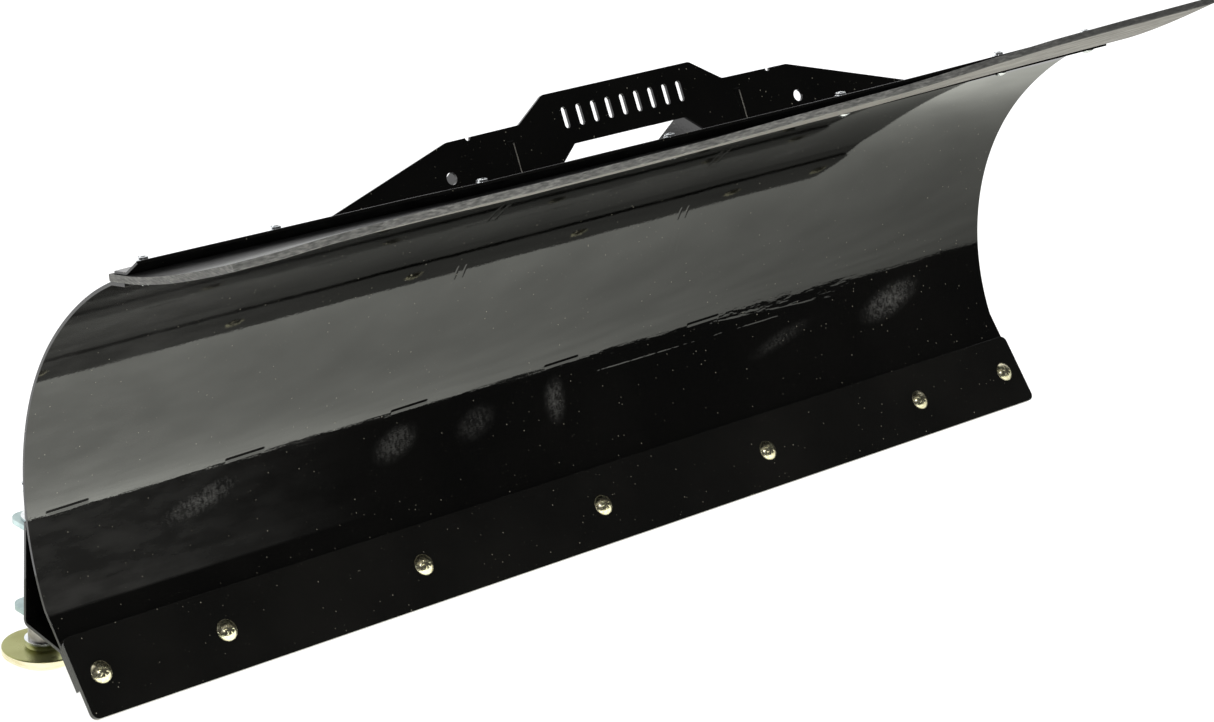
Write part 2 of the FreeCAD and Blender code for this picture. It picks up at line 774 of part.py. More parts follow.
nodes = {
    "moldboard": [moldboard],
    "wear_bar": [make_wear_bar()],
    "lower_channel": [channel],
    "rubber_flap": [flap],
    "flap_retainer": [make_retainer()],
    "top_plate": [make_top_plate(front_space)],
}
nodes["wear_bar_bolts"] = at_bar_bolts(
    carriage_bolt(bar_bolt_diameter, bar_bolt_head, bar_bolt_dome, bar_thickness, bar_bolt_length), 0)
nodes["wear_bar_nuts"] = at_bar_bolts(lock_nut(bar_nut_flats, bar_nut_height, bar_bolt_diameter), bar_stack)
nodes["flap_bolts"] = at_flap_bolts(
    carriage_bolt(flap_bolt_diameter, flap_bolt_head, flap_bolt_dome, sheet, flap_bolt_length), -sheet)
nodes["flap_nuts"] = at_flap_bolts(lock_nut(flap_nut_flats, flap_nut_height, flap_bolt_diameter), flap_stack)

for side, name in ((-1, "left"), (1, "right")):
    nodes[name + "_main_rib"] = [make_rib(side, trims)]
    nodes[name + "_inner_lug"] = [make_lug(side, trims)]
    nodes[name + "_lower_ear"] = [make_ear(side, lower_ear_top, trims)]
    nodes[name + "_upper_ear"] = [make_ear(side, upper_ear_top, trims)]
    x = side * post_x
    nodes[name + "_skid_foot"] = [make_foot(side)]
    nodes[name + "_lower_washer"] = [ring_of(washer_diameter, washer_bore, neck_top, washer_thickness, x)]
    nodes[name + "_lower_spacer"] = [ring_of(spacer_diameter, spacer_bore, neck_top + washer_thickness,
                                             spacer_length, x)]
    nodes[name + "_upper_washer"] = [ring_of(washer_diameter, washer_bore, upper_washer_low,
                                             washer_thickness, x)]
    nodes[name + "_upper_spacer"] = [ring_of(spacer_diameter, spacer_bore, upper_spacer_low,
                                             spacer_length, x)]
    nodes[name + "_lynch_pin"] = [pin_frame(make_lynch_pin(), side)]
    nodes[name + "_lynch_ring"] = [pin_frame(make_ring(), side)]

rib_solids = [nodes[name + "_main_rib"][0] for name in ("left", "right")]
ear_solids = [nodes[name + level][0] for name in ("left", "right") for level in ("_lower_ear", "_upper_ear")]
nodes["channel_welds"] = make_channel_beads(trims)
nodes["rib_welds"] = make_rib_beads(trims + rib_solids)
nodes["top_plate_welds"] = make_plate_beads([front_space, nodes["top_plate"][0]] + rib_solids)
nodes["ear_welds"] = make_ear_beads(trims + ear_solids)

# The origin is under the middle of the part's box: the flap reaches furthest forward and the
# ribs furthest back.
front_reach = flap.BoundBox.YMin
origin_shift = -(front_reach + rib_back) / 2
for name, solids in nodes.items():
    for solid in solids:
        solid.translate(V(0, origin_shift, 0))
    export(name, solids)

print("origin shift", round(origin_shift, 3), "pin height", round(pin_height, 3), "neck top", round(neck_top, 3))
print("pivot", round(pivot_y + origin_shift, 3), pivot_z, "post", round(post_y + origin_shift, 3))
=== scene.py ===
import math

import bmesh
import bpy
from mathutils import Matrix, Vector


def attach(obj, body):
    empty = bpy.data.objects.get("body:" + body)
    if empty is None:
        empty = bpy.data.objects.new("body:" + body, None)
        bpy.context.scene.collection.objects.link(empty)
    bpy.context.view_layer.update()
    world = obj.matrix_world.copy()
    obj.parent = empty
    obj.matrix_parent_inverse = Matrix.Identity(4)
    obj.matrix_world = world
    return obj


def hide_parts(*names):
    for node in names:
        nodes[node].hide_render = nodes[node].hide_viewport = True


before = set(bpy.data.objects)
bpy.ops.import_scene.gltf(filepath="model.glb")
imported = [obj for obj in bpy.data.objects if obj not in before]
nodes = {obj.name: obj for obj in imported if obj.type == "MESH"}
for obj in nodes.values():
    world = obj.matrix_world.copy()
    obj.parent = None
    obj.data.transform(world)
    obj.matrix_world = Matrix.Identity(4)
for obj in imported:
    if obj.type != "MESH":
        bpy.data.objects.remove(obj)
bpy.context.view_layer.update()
scene = bpy.context.scene

# Frame: metres, +X along the blade, the hollow face looks along -Y, +Z up.
SHIFT = 0.016019            # from the section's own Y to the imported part's Y
HALF = 0.6096               # half the blade's width
SHEET = 0.003
BAR_THICK = 0.00476
FOOT_LEAN = 40.3            # degrees from upright, leaning to the rear: the foot and the wear bar
TAB_MIDDLE = 0.1424         # X of the rib tabs in the top plate's slots
TAB_HALF = 0.00358

# ---------------------------------------------------------------- camera

CAMERA_PLACE = Vector((-2.0864, -2.18678, 1.3654))
CAMERA_RIGHT = Vector((0.74049, -0.67119, 0.03431))
CAMERA_UP = Vector((0.21551, 0.2855, 0.93383))
CAMERA_BACK = -Vector((0.63658, 0.68410, -0.35606))

camera_data = bpy.data.cameras.new("camera")
camera_data.lens = 101.54
camera_data.sensor_width = 36
camera_data.sensor_fit = "HORIZONTAL"
camera_data.shift_x = 0.0066
camera_data.shift_y = -0.0165
camera_data.clip_start = 0.05
camera_data.clip_end = 60
camera = bpy.data.objects.new("camera", camera_data)
scene.collection.objects.link(camera)
turn = Matrix((CAMERA_RIGHT, CAMERA_UP, CAMERA_BACK)).transposed()
camera.matrix_world = Matrix.Translation(CAMERA_PLACE) @ turn.to_4x4()
scene.camera = camera

scene.view_settings.view_transform = "Standard"
scene.view_settings.look = "None"
scene.view_settings.exposure = 0
scene.view_settings.gamma = 1


# ---------------------------------------------------------------- node helpers

BEVEL_SAMPLES = 6
NOISE_ROUGHNESS = 0.55      # how strongly each finer layer of a noise shows


class Paint:
    """A node material under construction: short names for the nodes that the finishes share."""

    def __init__(self, name):
        self.material = bpy.data.materials.new(name)
        self.material.use_nodes = True
        self.tree = self.material.node_tree
        self.tree.nodes.clear()
        self.output = self.tree.nodes.new("ShaderNodeOutputMaterial")
        self.shader = self.tree.nodes.new("ShaderNodeBsdfPrincipled")
        self.tree.links.new(self.shader.outputs[0], self.output.inputs["Surface"])
        self.place = self.tree.nodes.new("ShaderNodeTexCoord").outputs["Object"]
        self.normal = None

    def link(self, source, target):
        self.tree.links.new(source, target)

    def put(self, target, value):
        if isinstance(value, bpy.types.NodeSocket):
            self.link(value, target)
        else:
            target.default_value = value

    def set(self, **values):
        for key, value in values.items():
            self.put(self.shader.inputs[key.replace("_", " ")], value)

    def math(self, operation, a, b=0.0):
        node = self.tree.nodes.new("ShaderNodeMath")
        node.operation = operation
        self.put(node.inputs[0], a)
        self.put(node.inputs[1], b)
        return node.outputs[0]

    def stretch(self, scale, offset=(0, 0, 0), turn=(0, 0, 0)):
        node = self.tree.nodes.new("ShaderNodeMapping")
        self.link(self.place, node.inputs["Vector"])
        node.inputs["Location"].default_value = offset
        node.inputs["Rotation"].default_value = turn
        node.inputs["Scale"].default_value = scale
        return node.outputs[0]

    def noise(self, scale, detail, where=None):
        node = self.tree.nodes.new("ShaderNodeTexNoise")
        self.link(where or self.place, node.inputs["Vector"])
        node.inputs["Scale"].default_value = scale
        node.inputs["Detail"].default_value = detail
        node.inputs["Roughness"].default_value = NOISE_ROUGHNESS
        return node.outputs["Fac"]

    def cells(self, scale, where):
        node = self.tree.nodes.new("ShaderNodeTexVoronoi")
        self.link(where, node.inputs["Vector"])
        node.inputs["Scale"].default_value = scale
        return node.outputs["Distance"]

    def span(self, value, low, high, to_low=0.0, to_high=1.0, smooth=True):
        node = self.tree.nodes.new("ShaderNodeMapRange")
        node.interpolation_type = "SMOOTHSTEP" if smooth else "LINEAR"
        node.clamp = True
        for socket, item in zip(node.inputs[:5], (value, low, high, to_low, to_high)):
            self.put(socket, item)
        return node.outputs[0]

    def ramp(self, value, *stops):
        node = self.tree.nodes.new("ShaderNodeValToRGB")
        points = node.color_ramp.elements
        while len(points) < len(stops):
            points.new(0.5)
        for point, (position, colour) in zip(points, stops):
            point.position = position
            point.color = (*colour, 1)
        self.put(node.inputs[0], value)
        return node.outputs["Color"]

    def mix(self, factor, a, b):
        node = self.tree.nodes.new("ShaderNodeMix")
        node.data_type = "RGBA"
        self.put(node.inputs["Factor"], factor)
        for socket, value in ((node.inputs["A"], a), (node.inputs["B"], b)):
            colour_socket = [s for s in node.inputs if s.name == socket.name and s.type == "RGBA"][0]
            if isinstance(value, tuple):
                value = (*value, 1)
            self.put(colour_socket, value)
        return [s for s in node.outputs if s.type == "RGBA"][0]

    def axis(self, letter, source=None):
        node = self.tree.nodes.new("ShaderNodeSeparateXYZ")
        self.link(source or self.place, node.inputs[0])
        return node.outputs[letter]

    def facing(self, letter):
        node = self.tree.nodes.new("ShaderNodeNewGeometry")
        return self.axis(letter, node.outputs["Normal"])

    def near(self, letter, middle, half, fade):
        """1 inside middle +- half along an axis, falling to 0 over the fade."""
        distance = self.math("ABSOLUTE", self.math("SUBTRACT", self.axis(letter), middle))
        return self.span(distance, half, half + fade, 1.0, 0.0)

    def bump(self, height, strength, distance):
        node = self.tree.nodes.new("ShaderNodeBump")
        node.inputs["Strength"].default_value = strength
        node.inputs["Distance"].default_value = distance
        self.put(node.inputs["Height"], height)
        if self.normal is not None:
            self.link(self.normal, node.inputs["Normal"])
        self.normal = node.outputs[0]

    def rounded_normal(self, radius):
        node = self.tree.nodes.new("ShaderNodeBevel")
        node.samples = BEVEL_SAMPLES
        node.inputs["Radius"].default_value = radius
        return node.outputs[0]

    def soft_edges(self, radius):
        """Rounds the light over sharp edges, as paint or plating does."""
        self.normal = self.rounded_normal(radius)

    def edge_mask(self, radius):
        """1 on sharp outer and inner edges, from the turn between true and rounded normals."""
        geometry = self.tree.nodes.new("ShaderNodeNewGeometry")
        dot = self.tree.nodes.new("ShaderNodeVectorMath")
        dot.operation = "DOT_PRODUCT"
        self.link(self.rounded_normal(radius), dot.inputs[0])
        self.link(geometry.outputs["Normal"], dot.inputs[1])
        turned = self.math("SUBTRACT", 1.0, dot.outputs["Value"])
        return self.span(turned, 0.02, 0.35)

    def done(self):
        if self.normal is not None:
            self.link(self.normal, self.shader.inputs["Normal"])
        return self.material


def coat(name, material):
    """Gives a CAD node one finish."""
    data = nodes[name].data
    data.materials.clear()
    data.materials.append(material)


# ---------------------------------------------------------------- finishes

GLOSS = 0.02                # roughness of the smoothest coat
THIN_GLOSS = 0.03           # of the coat on flat, cut pieces
GLOSS_SPREAD = 0.035        # the smears are this much rougher
# strength of the painted highlight along sharp edges
EDGE_HIGHLIGHT = 0.22
DEEP_BLACK = (0.0018, 0.0018, 0.0016)
PALE_BLACK = (0.0032, 0.0031, 0.0027)
SPECK_COLOUR = (0.38, 0.36, 0.28)
# colour of the painted highlight along sharp edges
EDGE_HIGHLIGHT_COLOUR = (0.17, 0.18, 0.17)
# colour of the dust and of the painted glints
DUST_AND_GLINT_COLOUR = (0.11, 0.109, 0.102)


def black_paint():
    """Gloss black powder coat of the welded steel."""
    p = Paint("paint_plain")
    p.soft_edges(0.0005)
    paint_coat(p, GLOSS)
    return p.done()


def paint_coat(p, gloss, marks=None, dust_and_glints=None, depth=1.0):
    """Black with faint smudges, dust specks, orange peel and a painted highlight along thin edges, on a
    started paint.
    """
    cloud = p.noise(7, 4)
    smear = p.noise(15, 5, where=p.stretch((1, 2.4, 2.4), turn=(0, 0.5, 0)))
    patchy = p.span(p.noise(17, 2), 0.40, 0.62, 0.15, 1.0)
    grains = p.math("MULTIPLY", p.span(p.noise(520, 2), 0.725, 0.80), patchy)
    motes = p.span(p.cells(110, where=p.stretch((1, 1, 1), (0.31, 0.17, 0.53))), 0.040, 0.085, 1.0, 0.0)
    motes = p.math("MULTIPLY", motes, p.span(p.noise(60, 2), 0.36, 0.60, 0.25, 1.0))
    speck = p.math("MAXIMUM", p.math("MULTIPLY", grains, 0.45), p.math("MULTIPLY", motes, 0.7))
    # painted highlight: a lighter line along sharp edges, broken by noise
    edge = p.math("MULTIPLY", p.edge_mask(0.0006), p.span(p.noise(60, 3), 0.40, 0.62))
    deep = tuple(depth * v for v in DEEP_BLACK)
    pale = tuple(depth * v for v in PALE_BLACK)
    base = p.mix(p.span(cloud, 0.35, 0.7), deep, pale)
    base = p.mix(p.math("MULTIPLY", speck, 0.8), base, SPECK_COLOUR)
    base = p.mix(p.math("MULTIPLY", edge, EDGE_HIGHLIGHT), base, EDGE_HIGHLIGHT_COLOUR)
    # dust, and painted glints where the orange peel catches light
    if dust_and_glints is not None:
        base = p.mix(dust_and_glints, base, DUST_AND_GLINT_COLOUR)
    rough = p.span(smear, 0.38, 0.72, gloss, gloss + GLOSS_SPREAD)
    rough = p.math("ADD", rough, p.math("MULTIPLY", speck, 0.25))
    p.set(Base_Color=base, Roughness=rough, IOR=1.5)
    p.bump(p.noise(420, 2), 0.045, 0.0003)
    p.bump(p.noise(9, 2), 0.08, 0.0025)
    if marks is not None:
        p.bump(marks, 1.0, MARK_DEPTH)


MARK_PITCH = 0.191          # stitch welds of the channel, which print through the sheet
MARK_OFFSET = 0.005
MARK_LENGTH = 0.046
MARK_HEIGHT = 0.1577
MARK_DEPTH = 0.00016
MARK_LAST = 0.28            # no print shows to the right of this X
RIB_PRINTS = (0.1376, 0.1472)   # the two welds of each rib, from the middle of the blade

# Painted glints, where the coat's orange peel catches light: middle X and Z, half length, half height,
# strength
PAINTED_GLINTS = ((-0.432, 0.129, 0.048, 0.012, 0.9), (-0.208, 0.128, 0.026, 0.014, 0.7),
          (-0.110, 0.125, 0.024, 0.014, 0.35), (-0.009, 0.124, 0.013, 0.020, 0.8),
          (0.300, 0.117, 0.045, 0.008, 0.25), (0.465, 0.123, 0.042, 0.015, 1.0))

# Creases where the channel's weld pulls the sheet in: X and Z at both ends
PULLED = ((0.030, 0.1390, 0.330, 0.1400), (0.205, 0.1535, 0.430, 0.1415))
PULLED_DEPTH = 0.00011


def stitch_prints(p, x, z):
    """Short dark lines where the channel is stitched on from behind."""
    turns = p.math("DIVIDE", p.math("SUBTRACT", x, MARK_OFFSET), MARK_PITCH)
    offset = p.math("MULTIPLY", p.math("SUBTRACT", turns, p.math("ROUND", turns)), MARK_PITCH)
    run = p.span(p.math("ABSOLUTE", offset), MARK_LENGTH / 2 - 0.004, MARK_LENGTH / 2, 1.0, 0.0)
    # each print runs slightly uphill over its length, as the stitches do
    level = p.math("SUBTRACT", z, p.math("ADD", MARK_HEIGHT, p.math("MULTIPLY", offset, 0.02)))
    line = p.span(p.math("ABSOLUTE", level), 0.0, 0.0024, 1.0, 0.0)
    return p.math("MULTIPLY", p.math("MULTIPLY", run, line), p.span(x, MARK_LAST, MARK_LAST + 0.02, 1.0, 0.0))


def with_rib_prints(p, x, z, marks):
    """Adds the pairs of faint, short upright lines that the rib welds draw."""
    right_side = p.math("MULTIPLY", p.span(x, -0.01, 0.01), 0.6)
    high = p.math("MAXIMUM", p.near("Z", 0.288, 0.005, 0.005), p.near("Z", 0.362, 0.011, 0.004))
    high = p.math("MAXIMUM", high, p.math("MULTIPLY", right_side, p.near("Z", 0.266, 0.022, 0.006)))
    lean = p.math("MULTIPLY", p.math("SUBTRACT", z, 0.30), 0.03)
    for reach in RIB_PRINTS:
        aside = p.math("ABSOLUTE", p.math("SUBTRACT", p.math("ADD", p.math("ABSOLUTE", x), lean), reach))
        stroke = p.math("MULTIPLY", p.span(aside, 0.0, 0.0022, 1.0, 0.0), high)
        marks = p.math("MAXIMUM", marks, p.math("MULTIPLY", stroke, 0.5))
    return marks


def pull_creases(p, x, z):
    """Lengthwise ripple and creases along the channel's upper weld."""
    wave = p.noise(1.0, 3, where=p.stretch((11, 1, 150)))
    p.bump(p.math("MULTIPLY", wave, p.near("Z", 0.150, 0.010, 0.012)), 0.5, 0.00012)
    broken = p.span(p.noise(26, 3, where=p.stretch((1, 1, 4))), 0.36, 0.60, 0.35, 1.0)
    for left, left_z, right, right_z in PULLED:
        slope = (right_z - left_z) / (right - left)
        crease = p.math("ADD", left_z, p.math("MULTIPLY", p.math("SUBTRACT", x, left), slope))
        above = p.math("SUBTRACT", z, crease)
        step = p.math("MULTIPLY", p.span(above, -0.0011, 0.0011), p.span(above, 0.0015, 0.022, 1.0, 0.0))
        ends = p.math("MULTIPLY", p.span(x, left, left + 0.03), p.span(x, right - 0.03, right, 1.0, 0.0))
        p.bump(p.math("MULTIPLY", step, p.math("MULTIPLY", ends, broken)), 1.0, PULLED_DEPTH)


def foot_dust_and_glints(p, x, z):
    """Dust on the left foot of the roll, down to the bend line, and painted glints of light in patches."""
    dusty = p.math("MULTIPLY", p.span(x, -0.55, -0.22, 1.0, 0.0), p.span(z, 0.0745, 0.0775))
    streak = p.noise(46, 6, where=p.stretch((0.5, 1, 1.6), turn=(0, 0.7, 0)))
    streak = p.span(streak, 0.35, 0.68, 0.085, 0.185)
    # a lighter band along Z 0.083 in the dusty part
    lighter_band = p.math("MULTIPLY", p.near("Z", 0.083, 0.0055, 0.004), 0.062)
    dust_and_glints = p.math("MULTIPLY", dusty, p.math("ADD", streak, lighter_band))
    fine = p.noise(900, 3, where=p.stretch((0.45, 1, 1.5), turn=(0, 0.8, 0)))
    coarse = p.noise(260, 5, where=p.stretch((1, 1, 0.6), turn=(0, -0.5, 0)))
    grain = p.math("MULTIPLY", p.span(fine, 0.35, 0.65, 0.25, 1.0), p.span(coarse, 0.36, 0.62, 0.25, 1.0))
    # painted glints: lighter patches where the orange peel catches light
    for middle_x, middle_z, long, tall, strength in PAINTED_GLINTS:
        aside = p.math("SUBTRACT", x, middle_x)
        above = p.math("SUBTRACT", z, p.math("ADD", middle_z, p.math("MULTIPLY", aside, 0.2)))
        across = p.math("POWER", p.math("DIVIDE", aside, long), 2)
        spread = p.math("ADD", across, p.math("POWER", p.math("DIVIDE", above, tall), 2))
        fall = p.math("POWER", p.span(spread, 0.0, 1.7, 1.0, 0.0, smooth=False), 2.4)
        patch = p.math("MULTIPLY", p.math("MULTIPLY", fall, strength), grain)
        dust_and_glints = p.math("MAXIMUM", dust_and_glints, patch)
    return dust_and_glints


def moldboard_paint():
    """The same coat, with the weld prints, the dusty foot of the hollow face and painted glints on it."""
    p = Paint("paint_moldboard")
    p.soft_edges(0.0005)
    x, z = p.axis("X"), p.axis("Z")
    marks = with_rib_prints(p, x, z, stitch_prints(p, x, z))
    pull_creases(p, x, z)
    paint_coat(p, GLOSS, marks, foot_dust_and_glints(p, x, z))
    return p.done()


def plate_paint():
    """The top plate: the same coat, thin on the cut walls of the slots that hold the rib tabs."""
    p = Paint("paint_plate")
    p.soft_edges(0.0003)
    paint_coat(p, THIN_GLOSS)
    painted = p.shader.inputs["Base Color"].links[0].from_socket
    beside = p.math("SUBTRACT", p.math("ABSOLUTE", p.axis("X")), TAB_MIDDLE)
    slot = p.span(p.math("ABSOLUTE", beside), 0.0042, 0.0046, 1.0, 0.0)
    wall = p.math("MULTIPLY", slot, p.span(p.math("ABSOLUTE", p.facing("X")), 0.6, 0.8))
    bare = p.math("MULTIPLY", wall, p.span(p.noise(120, 3), 0.2, 0.5, 0.6, 1.0))
    p.set(Base_Color=p.mix(bare, painted, (0.45, 0.43, 0.38)))
    return p.done()


def bar_paint():
    """The wear bar: the same coat, thinner, and worn to bare steel along its lower edge."""
    p = Paint("paint_bar")
    p.soft_edges(0.0005)
    low = p.span(p.axis("Z"), 0.0005, 0.0028, 1.0, 0.0)
    paint_coat(p, THIN_GLOSS, depth=2.3)
    painted = p.shader.inputs["Base Color"].links[0].from_socket
    bare = p.math("MULTIPLY", low, p.span(p.noise(55, 4), 0.30, 0.55))
    p.set(Base_Color=p.mix(bare, painted, (0.40, 0.36, 0.30)))
    rough = p.shader.inputs["Roughness"].links[0].from_socket
    p.set(Roughness=p.math("MAXIMUM", rough, p.math("MULTIPLY", bare, 0.5)))
    return p.done()


def plating(name, light, dark, tint, rough=0.13, grain=160):
    """Zinc plating: a mottled metal with a colour play and a fine grain."""
    p = Paint(name)
    p.soft_edges(0.0004)
    mottle = p.noise(grain, 4)
    play = p.noise(grain * 0.35, 2, where=p.stretch((1, 1, 1), (0.3, 0.1, 0.7)))
    base = p.ramp(mottle, (0.25, dark), (0.60, light))
    base = p.mix(p.span(play, 0.46, 0.70, 0.0, 0.5), base, tint)
    uneven = p.span(p.noise(grain * 0.7, 3), 0.3, 0.7, rough, rough + 0.12)
    p.set(Base_Color=base, Metallic=1.0, Roughness=uneven)
    p.bump(p.noise(grain * 4, 2), 0.10, 0.0002)
    return p.done()


def foot_plating():
    """Yellow zinc on the domed shoes: olive gold above, a painted pale cream reflection of the lit floor
    where it turns to the ground, and a painted highlight along the edges.
    """
    p = Paint("yellow_zinc_shoe")
    p.soft_edges(0.0006)
    cloud = p.noise(26, 4)
    turned = p.noise(90, 4, where=p.stretch((0.6, 0.6, 3)))
    gold = p.ramp(cloud, (0.35, (0.33, 0.33, 0.13)), (0.68, (0.43, 0.44, 0.20)))
    gold = p.mix(p.span(p.noise(9, 2), 0.45, 0.7, 0.0, 0.4), gold, (0.40, 0.46, 0.24))
    painted_floor_reflection = p.ramp(turned, (0.35, (0.74, 0.66, 0.44)), (0.65, (0.88, 0.83, 0.64)))
    # painted reflection: pale cream on the faces that turn down to the lit floor
    base = p.mix(p.span(p.facing("Z"), 0.35, 0.05), gold, painted_floor_reflection)
    # painted highlight: a pale line along sharp edges
    base = p.mix(p.math("MULTIPLY", p.edge_mask(0.0008), 0.7), base, (0.86, 0.82, 0.62))
    p.set(Base_Color=base, Metallic=1.0, Roughness=p.span(turned, 0.3, 0.7, 0.22, 0.36))
    p.bump(p.noise(500, 2), 0.08, 0.0002)
    return p.done()


def rubber():
    """Fibre-filled black rubber: matt, with pale chafed edges, lengthwise rub marks, dust and a painted sheen
    towards the front of the upper face, and painted floor light on the lower face.
    """
    p = Paint("rubber")
    fibre = p.noise(190, 5, where=p.stretch((0.25, 1, 1)))
    cloud = p.noise(11, 4)
    base = p.ramp(fibre, (0.30, (0.012, 0.012, 0.012)), (0.75, (0.050, 0.050, 0.050)))
    base = p.mix(p.span(cloud, 0.45, 0.75, 0.0, 0.35), base, (0.085, 0.084, 0.081))
    grit = p.span(p.noise(650, 3), 0.35, 0.62)
    # dust and a painted sheen: the upper face is lighter towards its front
    dust_and_sheen = p.math("MULTIPLY", p.span(p.axis("Z"), 0.436, 0.460), p.span(fibre, 0.25, 0.6, 0.35, 1.0))
    base = p.mix(p.math("MULTIPLY", dust_and_sheen, p.span(grit, 0.0, 1.0, 0.45, 1.0)), base, (0.29, 0.30, 0.29))
    # painted light from the bright floor: the lower face is pale and streaked
    streak = p.noise(150, 6, where=p.stretch((0.10, 1, 1)))
    painted_floor_light = p.ramp(streak, (0.30, (0.13, 0.122, 0.105)), (0.55, (0.235, 0.222, 0.195)),
                  (0.75, (0.38, 0.36, 0.315)))
    base = p.mix(p.span(p.facing("Z"), -0.25, -0.6), base, painted_floor_light)
    edge = p.math("MULTIPLY", p.edge_mask(0.0012), p.span(p.noise(140, 4), 0.35, 0.6))
    base = p.mix(p.math("MULTIPLY", edge, 0.5), base, (0.20, 0.195, 0.185))
    p.set(Base_Color=base, Roughness=p.span(fibre, 0.3, 0.7, 0.50, 0.72))
    p.bump(p.noise(520, 4), 0.35, 0.0004)
    p.bump(p.noise(26, 3), 0.2, 0.002)
    return p.done()


def rubber_cut():
    """Cut edges of the rubber, where its pale fibres show, with painted shade darkening them towards the
    right end.
    """
    p = Paint("rubber_cut")
    end = p.span(p.math("ABSOLUTE", p.facing("X")), 0.5, 0.8)
    lengthwise = p.noise(620, 6, where=p.stretch((0.22, 1, 1)))
    crosswise = p.noise(620, 6, where=p.stretch((1, 0.22, 1.2), turn=(-0.33, 0, 0)))
    beside = p.math("MULTIPLY", lengthwise, p.math("SUBTRACT", 1.0, end))
    fibre = p.math("ADD", p.math("MULTIPLY", crosswise, end), beside)
    blotch = p.noise(34, 4)
    base = p.ramp(fibre, (0.30, (0.050, 0.050, 0.046)), (0.50, (0.125, 0.124, 0.115)),
                  (0.72, (0.25, 0.245, 0.225)))
    base = p.mix(p.span(blotch, 0.35, 0.7, 0.0, 0.45), base, (0.07, 0.07, 0.064))
    # painted shade: the cut edges darken towards the right end
    base = p.mix(p.span(p.axis("X"), -0.05, 0.50, 0.0, 0.72), base, (0.020, 0.020, 0.019))
    p.set(Base_Color=base, Roughness=p.span(fibre, 0.3, 0.7, 0.65, 0.85))
    p.bump(fibre, 0.5, 0.0005)
    return p.done()


def nylon():
    """Pale ring of the lock nuts."""
    p = Paint("nylon")
    mottle = p.noise(300, 3)
    base = p.ramp(mottle, (0.3, (0.55, 0.56, 0.55)), (0.7, (0.72, 0.73, 0.72)))
    p.set(Base_Color=base, Roughness=p.span(mottle, 0.3, 0.7, 0.35, 0.5))
    p.bump(mottle, 0.1, 0.0001)
    return p.done()


BLACK = black_paint()
MOLDBOARD = moldboard_paint()
BAR = bar_paint()
PLATE = plate_paint()
GOLD = plating("yellow_zinc", (0.95, 0.90, 0.68), (0.72, 0.64, 0.36), (0.74, 0.80, 0.52), 0.17, 420)
SILVER = plating("clear_zinc", (0.92, 0.94, 0.95), (0.70, 0.74, 0.77), (0.78, 0.84, 0.89))
EAR = plating("pale_zinc", (0.46, 0.57, 0.56), (0.34, 0.44, 0.44), (0.42, 0.52, 0.54), 0.30, 90)
FOOT = foot_plating()
STEEL = plating("raw_steel", (0.44, 0.42, 0.40), (0.26, 0.24, 0.23), (0.40, 0.37, 0.33), 0.34)
RUBBER = rubber()
RUBBER_CUT = rubber_cut()
NYLON = nylon()

for name in nodes:
    if name.endswith("skid_foot"):
        coat(name, FOOT)
    elif name.endswith("_ear"):
        coat(name, EAR)
    elif name in ("wear_bar_bolts", "wear_bar_nuts"):
        coat(name, GOLD)
    elif name in ("flap_bolts", "flap_nuts", "ear_welds") or any(k in name for k in ("washer", "lynch")):
        coat(name, SILVER)
    elif "spacer" in name:
        coat(name, STEEL)
    elif name == "rubber_flap":
        coat(name, RUBBER)
    elif name == "moldboard":
        coat(name, MOLDBOARD)
    elif name == "wear_bar":
        coat(name, BAR)
    elif name == "top_plate":
        coat(name, PLATE)
    else:
        coat(name, BLACK)


# ---------------------------------------------------------------- mesh helpers

def rise(degrees):
    """Unit (Y, Z) of a line that runs to the front and climbs by this angle."""
    a = math.radians(degrees)
    return -math.cos(a), math.sin(a)


def blended(table, x):
    """Value at x of a table of (x, value) pairs, joined by straight lines."""
    if x <= table[0][0]:
        return table[0][1]
    for (x0, v0), (x1, v1) in zip(table, table[1:]):
        if x <= x1:
            t = (x - x0) / (x1 - x0)
            return v0 + (v1 - v0) * t
    return table[-1][1]


def finished(name, bm, materials, flat_above):
    """Turns a bmesh into an object with smooth faces and sharp edges above an angle."""
    mesh = bpy.data.meshes.new(name)
    bm.to_mesh(mesh)
    bm.free()
    for material in materials:
        mesh.materials.append(material)
    mesh.shade_smooth()
    mesh.set_sharp_from_angle(angle=math.radians(flat_above))
    piece = bpy.data.objects.new(name, mesh)
    scene.collection.objects.link(piece)
    return piece


def mesh_object(name, bm, *materials, flat_above=35):
    bmesh.ops.recalc_face_normals(bm, faces=bm.faces)
    return finished(name, bm, materials, flat_above)


def grid_faces(bm, rows, closed=False, material=0):
    """Quads between rows of vertices; rows is a list of equally long vertex lists."""
    faces = []
    count = len(rows[0])
    for a, b in zip(rows, rows[1:]):
        for j in range(count - (0 if closed else 1)):
            k = (j + 1) % count
            faces.append(bm.faces.new((a[j], a[k], b[k], b[j])))
            faces[-1].material_index = material
    return faces


def cap_ends(bm, rows):
    """Closes the first and the last row of a swept outline."""
    return bm.faces.new(rows[0]), bm.faces.new(list(reversed(rows[-1])))


# ---------------------------------------------------------------- rubber flap

# The lip's top face, where the flap lies: the crease, and the lip's climb towards the front.
CREASE = (-0.03685 + SHIFT, 0.41084)
LIP_CLIMB = 11.5
FLAP_THICK = 0.00635
FLAP_BACK = 0.0025          # it reaches this far behind the crease
FLAP_WIDE = 0.1778
FLAP_PULL = 0.009           # its right end stands in this far at the front
FLAP_STEPS = 44             # from back to front
FLAP_STATIONS = 96          # from end to end

# The lip of the welded blade has sunk a few millimetres between its ends: X and drop.
SINK = ((-HALF, 0.0004), (-0.50, 0.0016), (-0.33, 0.0033), (-0.25, 0.0050), (0.0, 0.0053),
        (0.2, 0.0058), (0.3, 0.0055), (0.4, 0.0043), (0.47, 0.0034), (HALF, 0.0024))
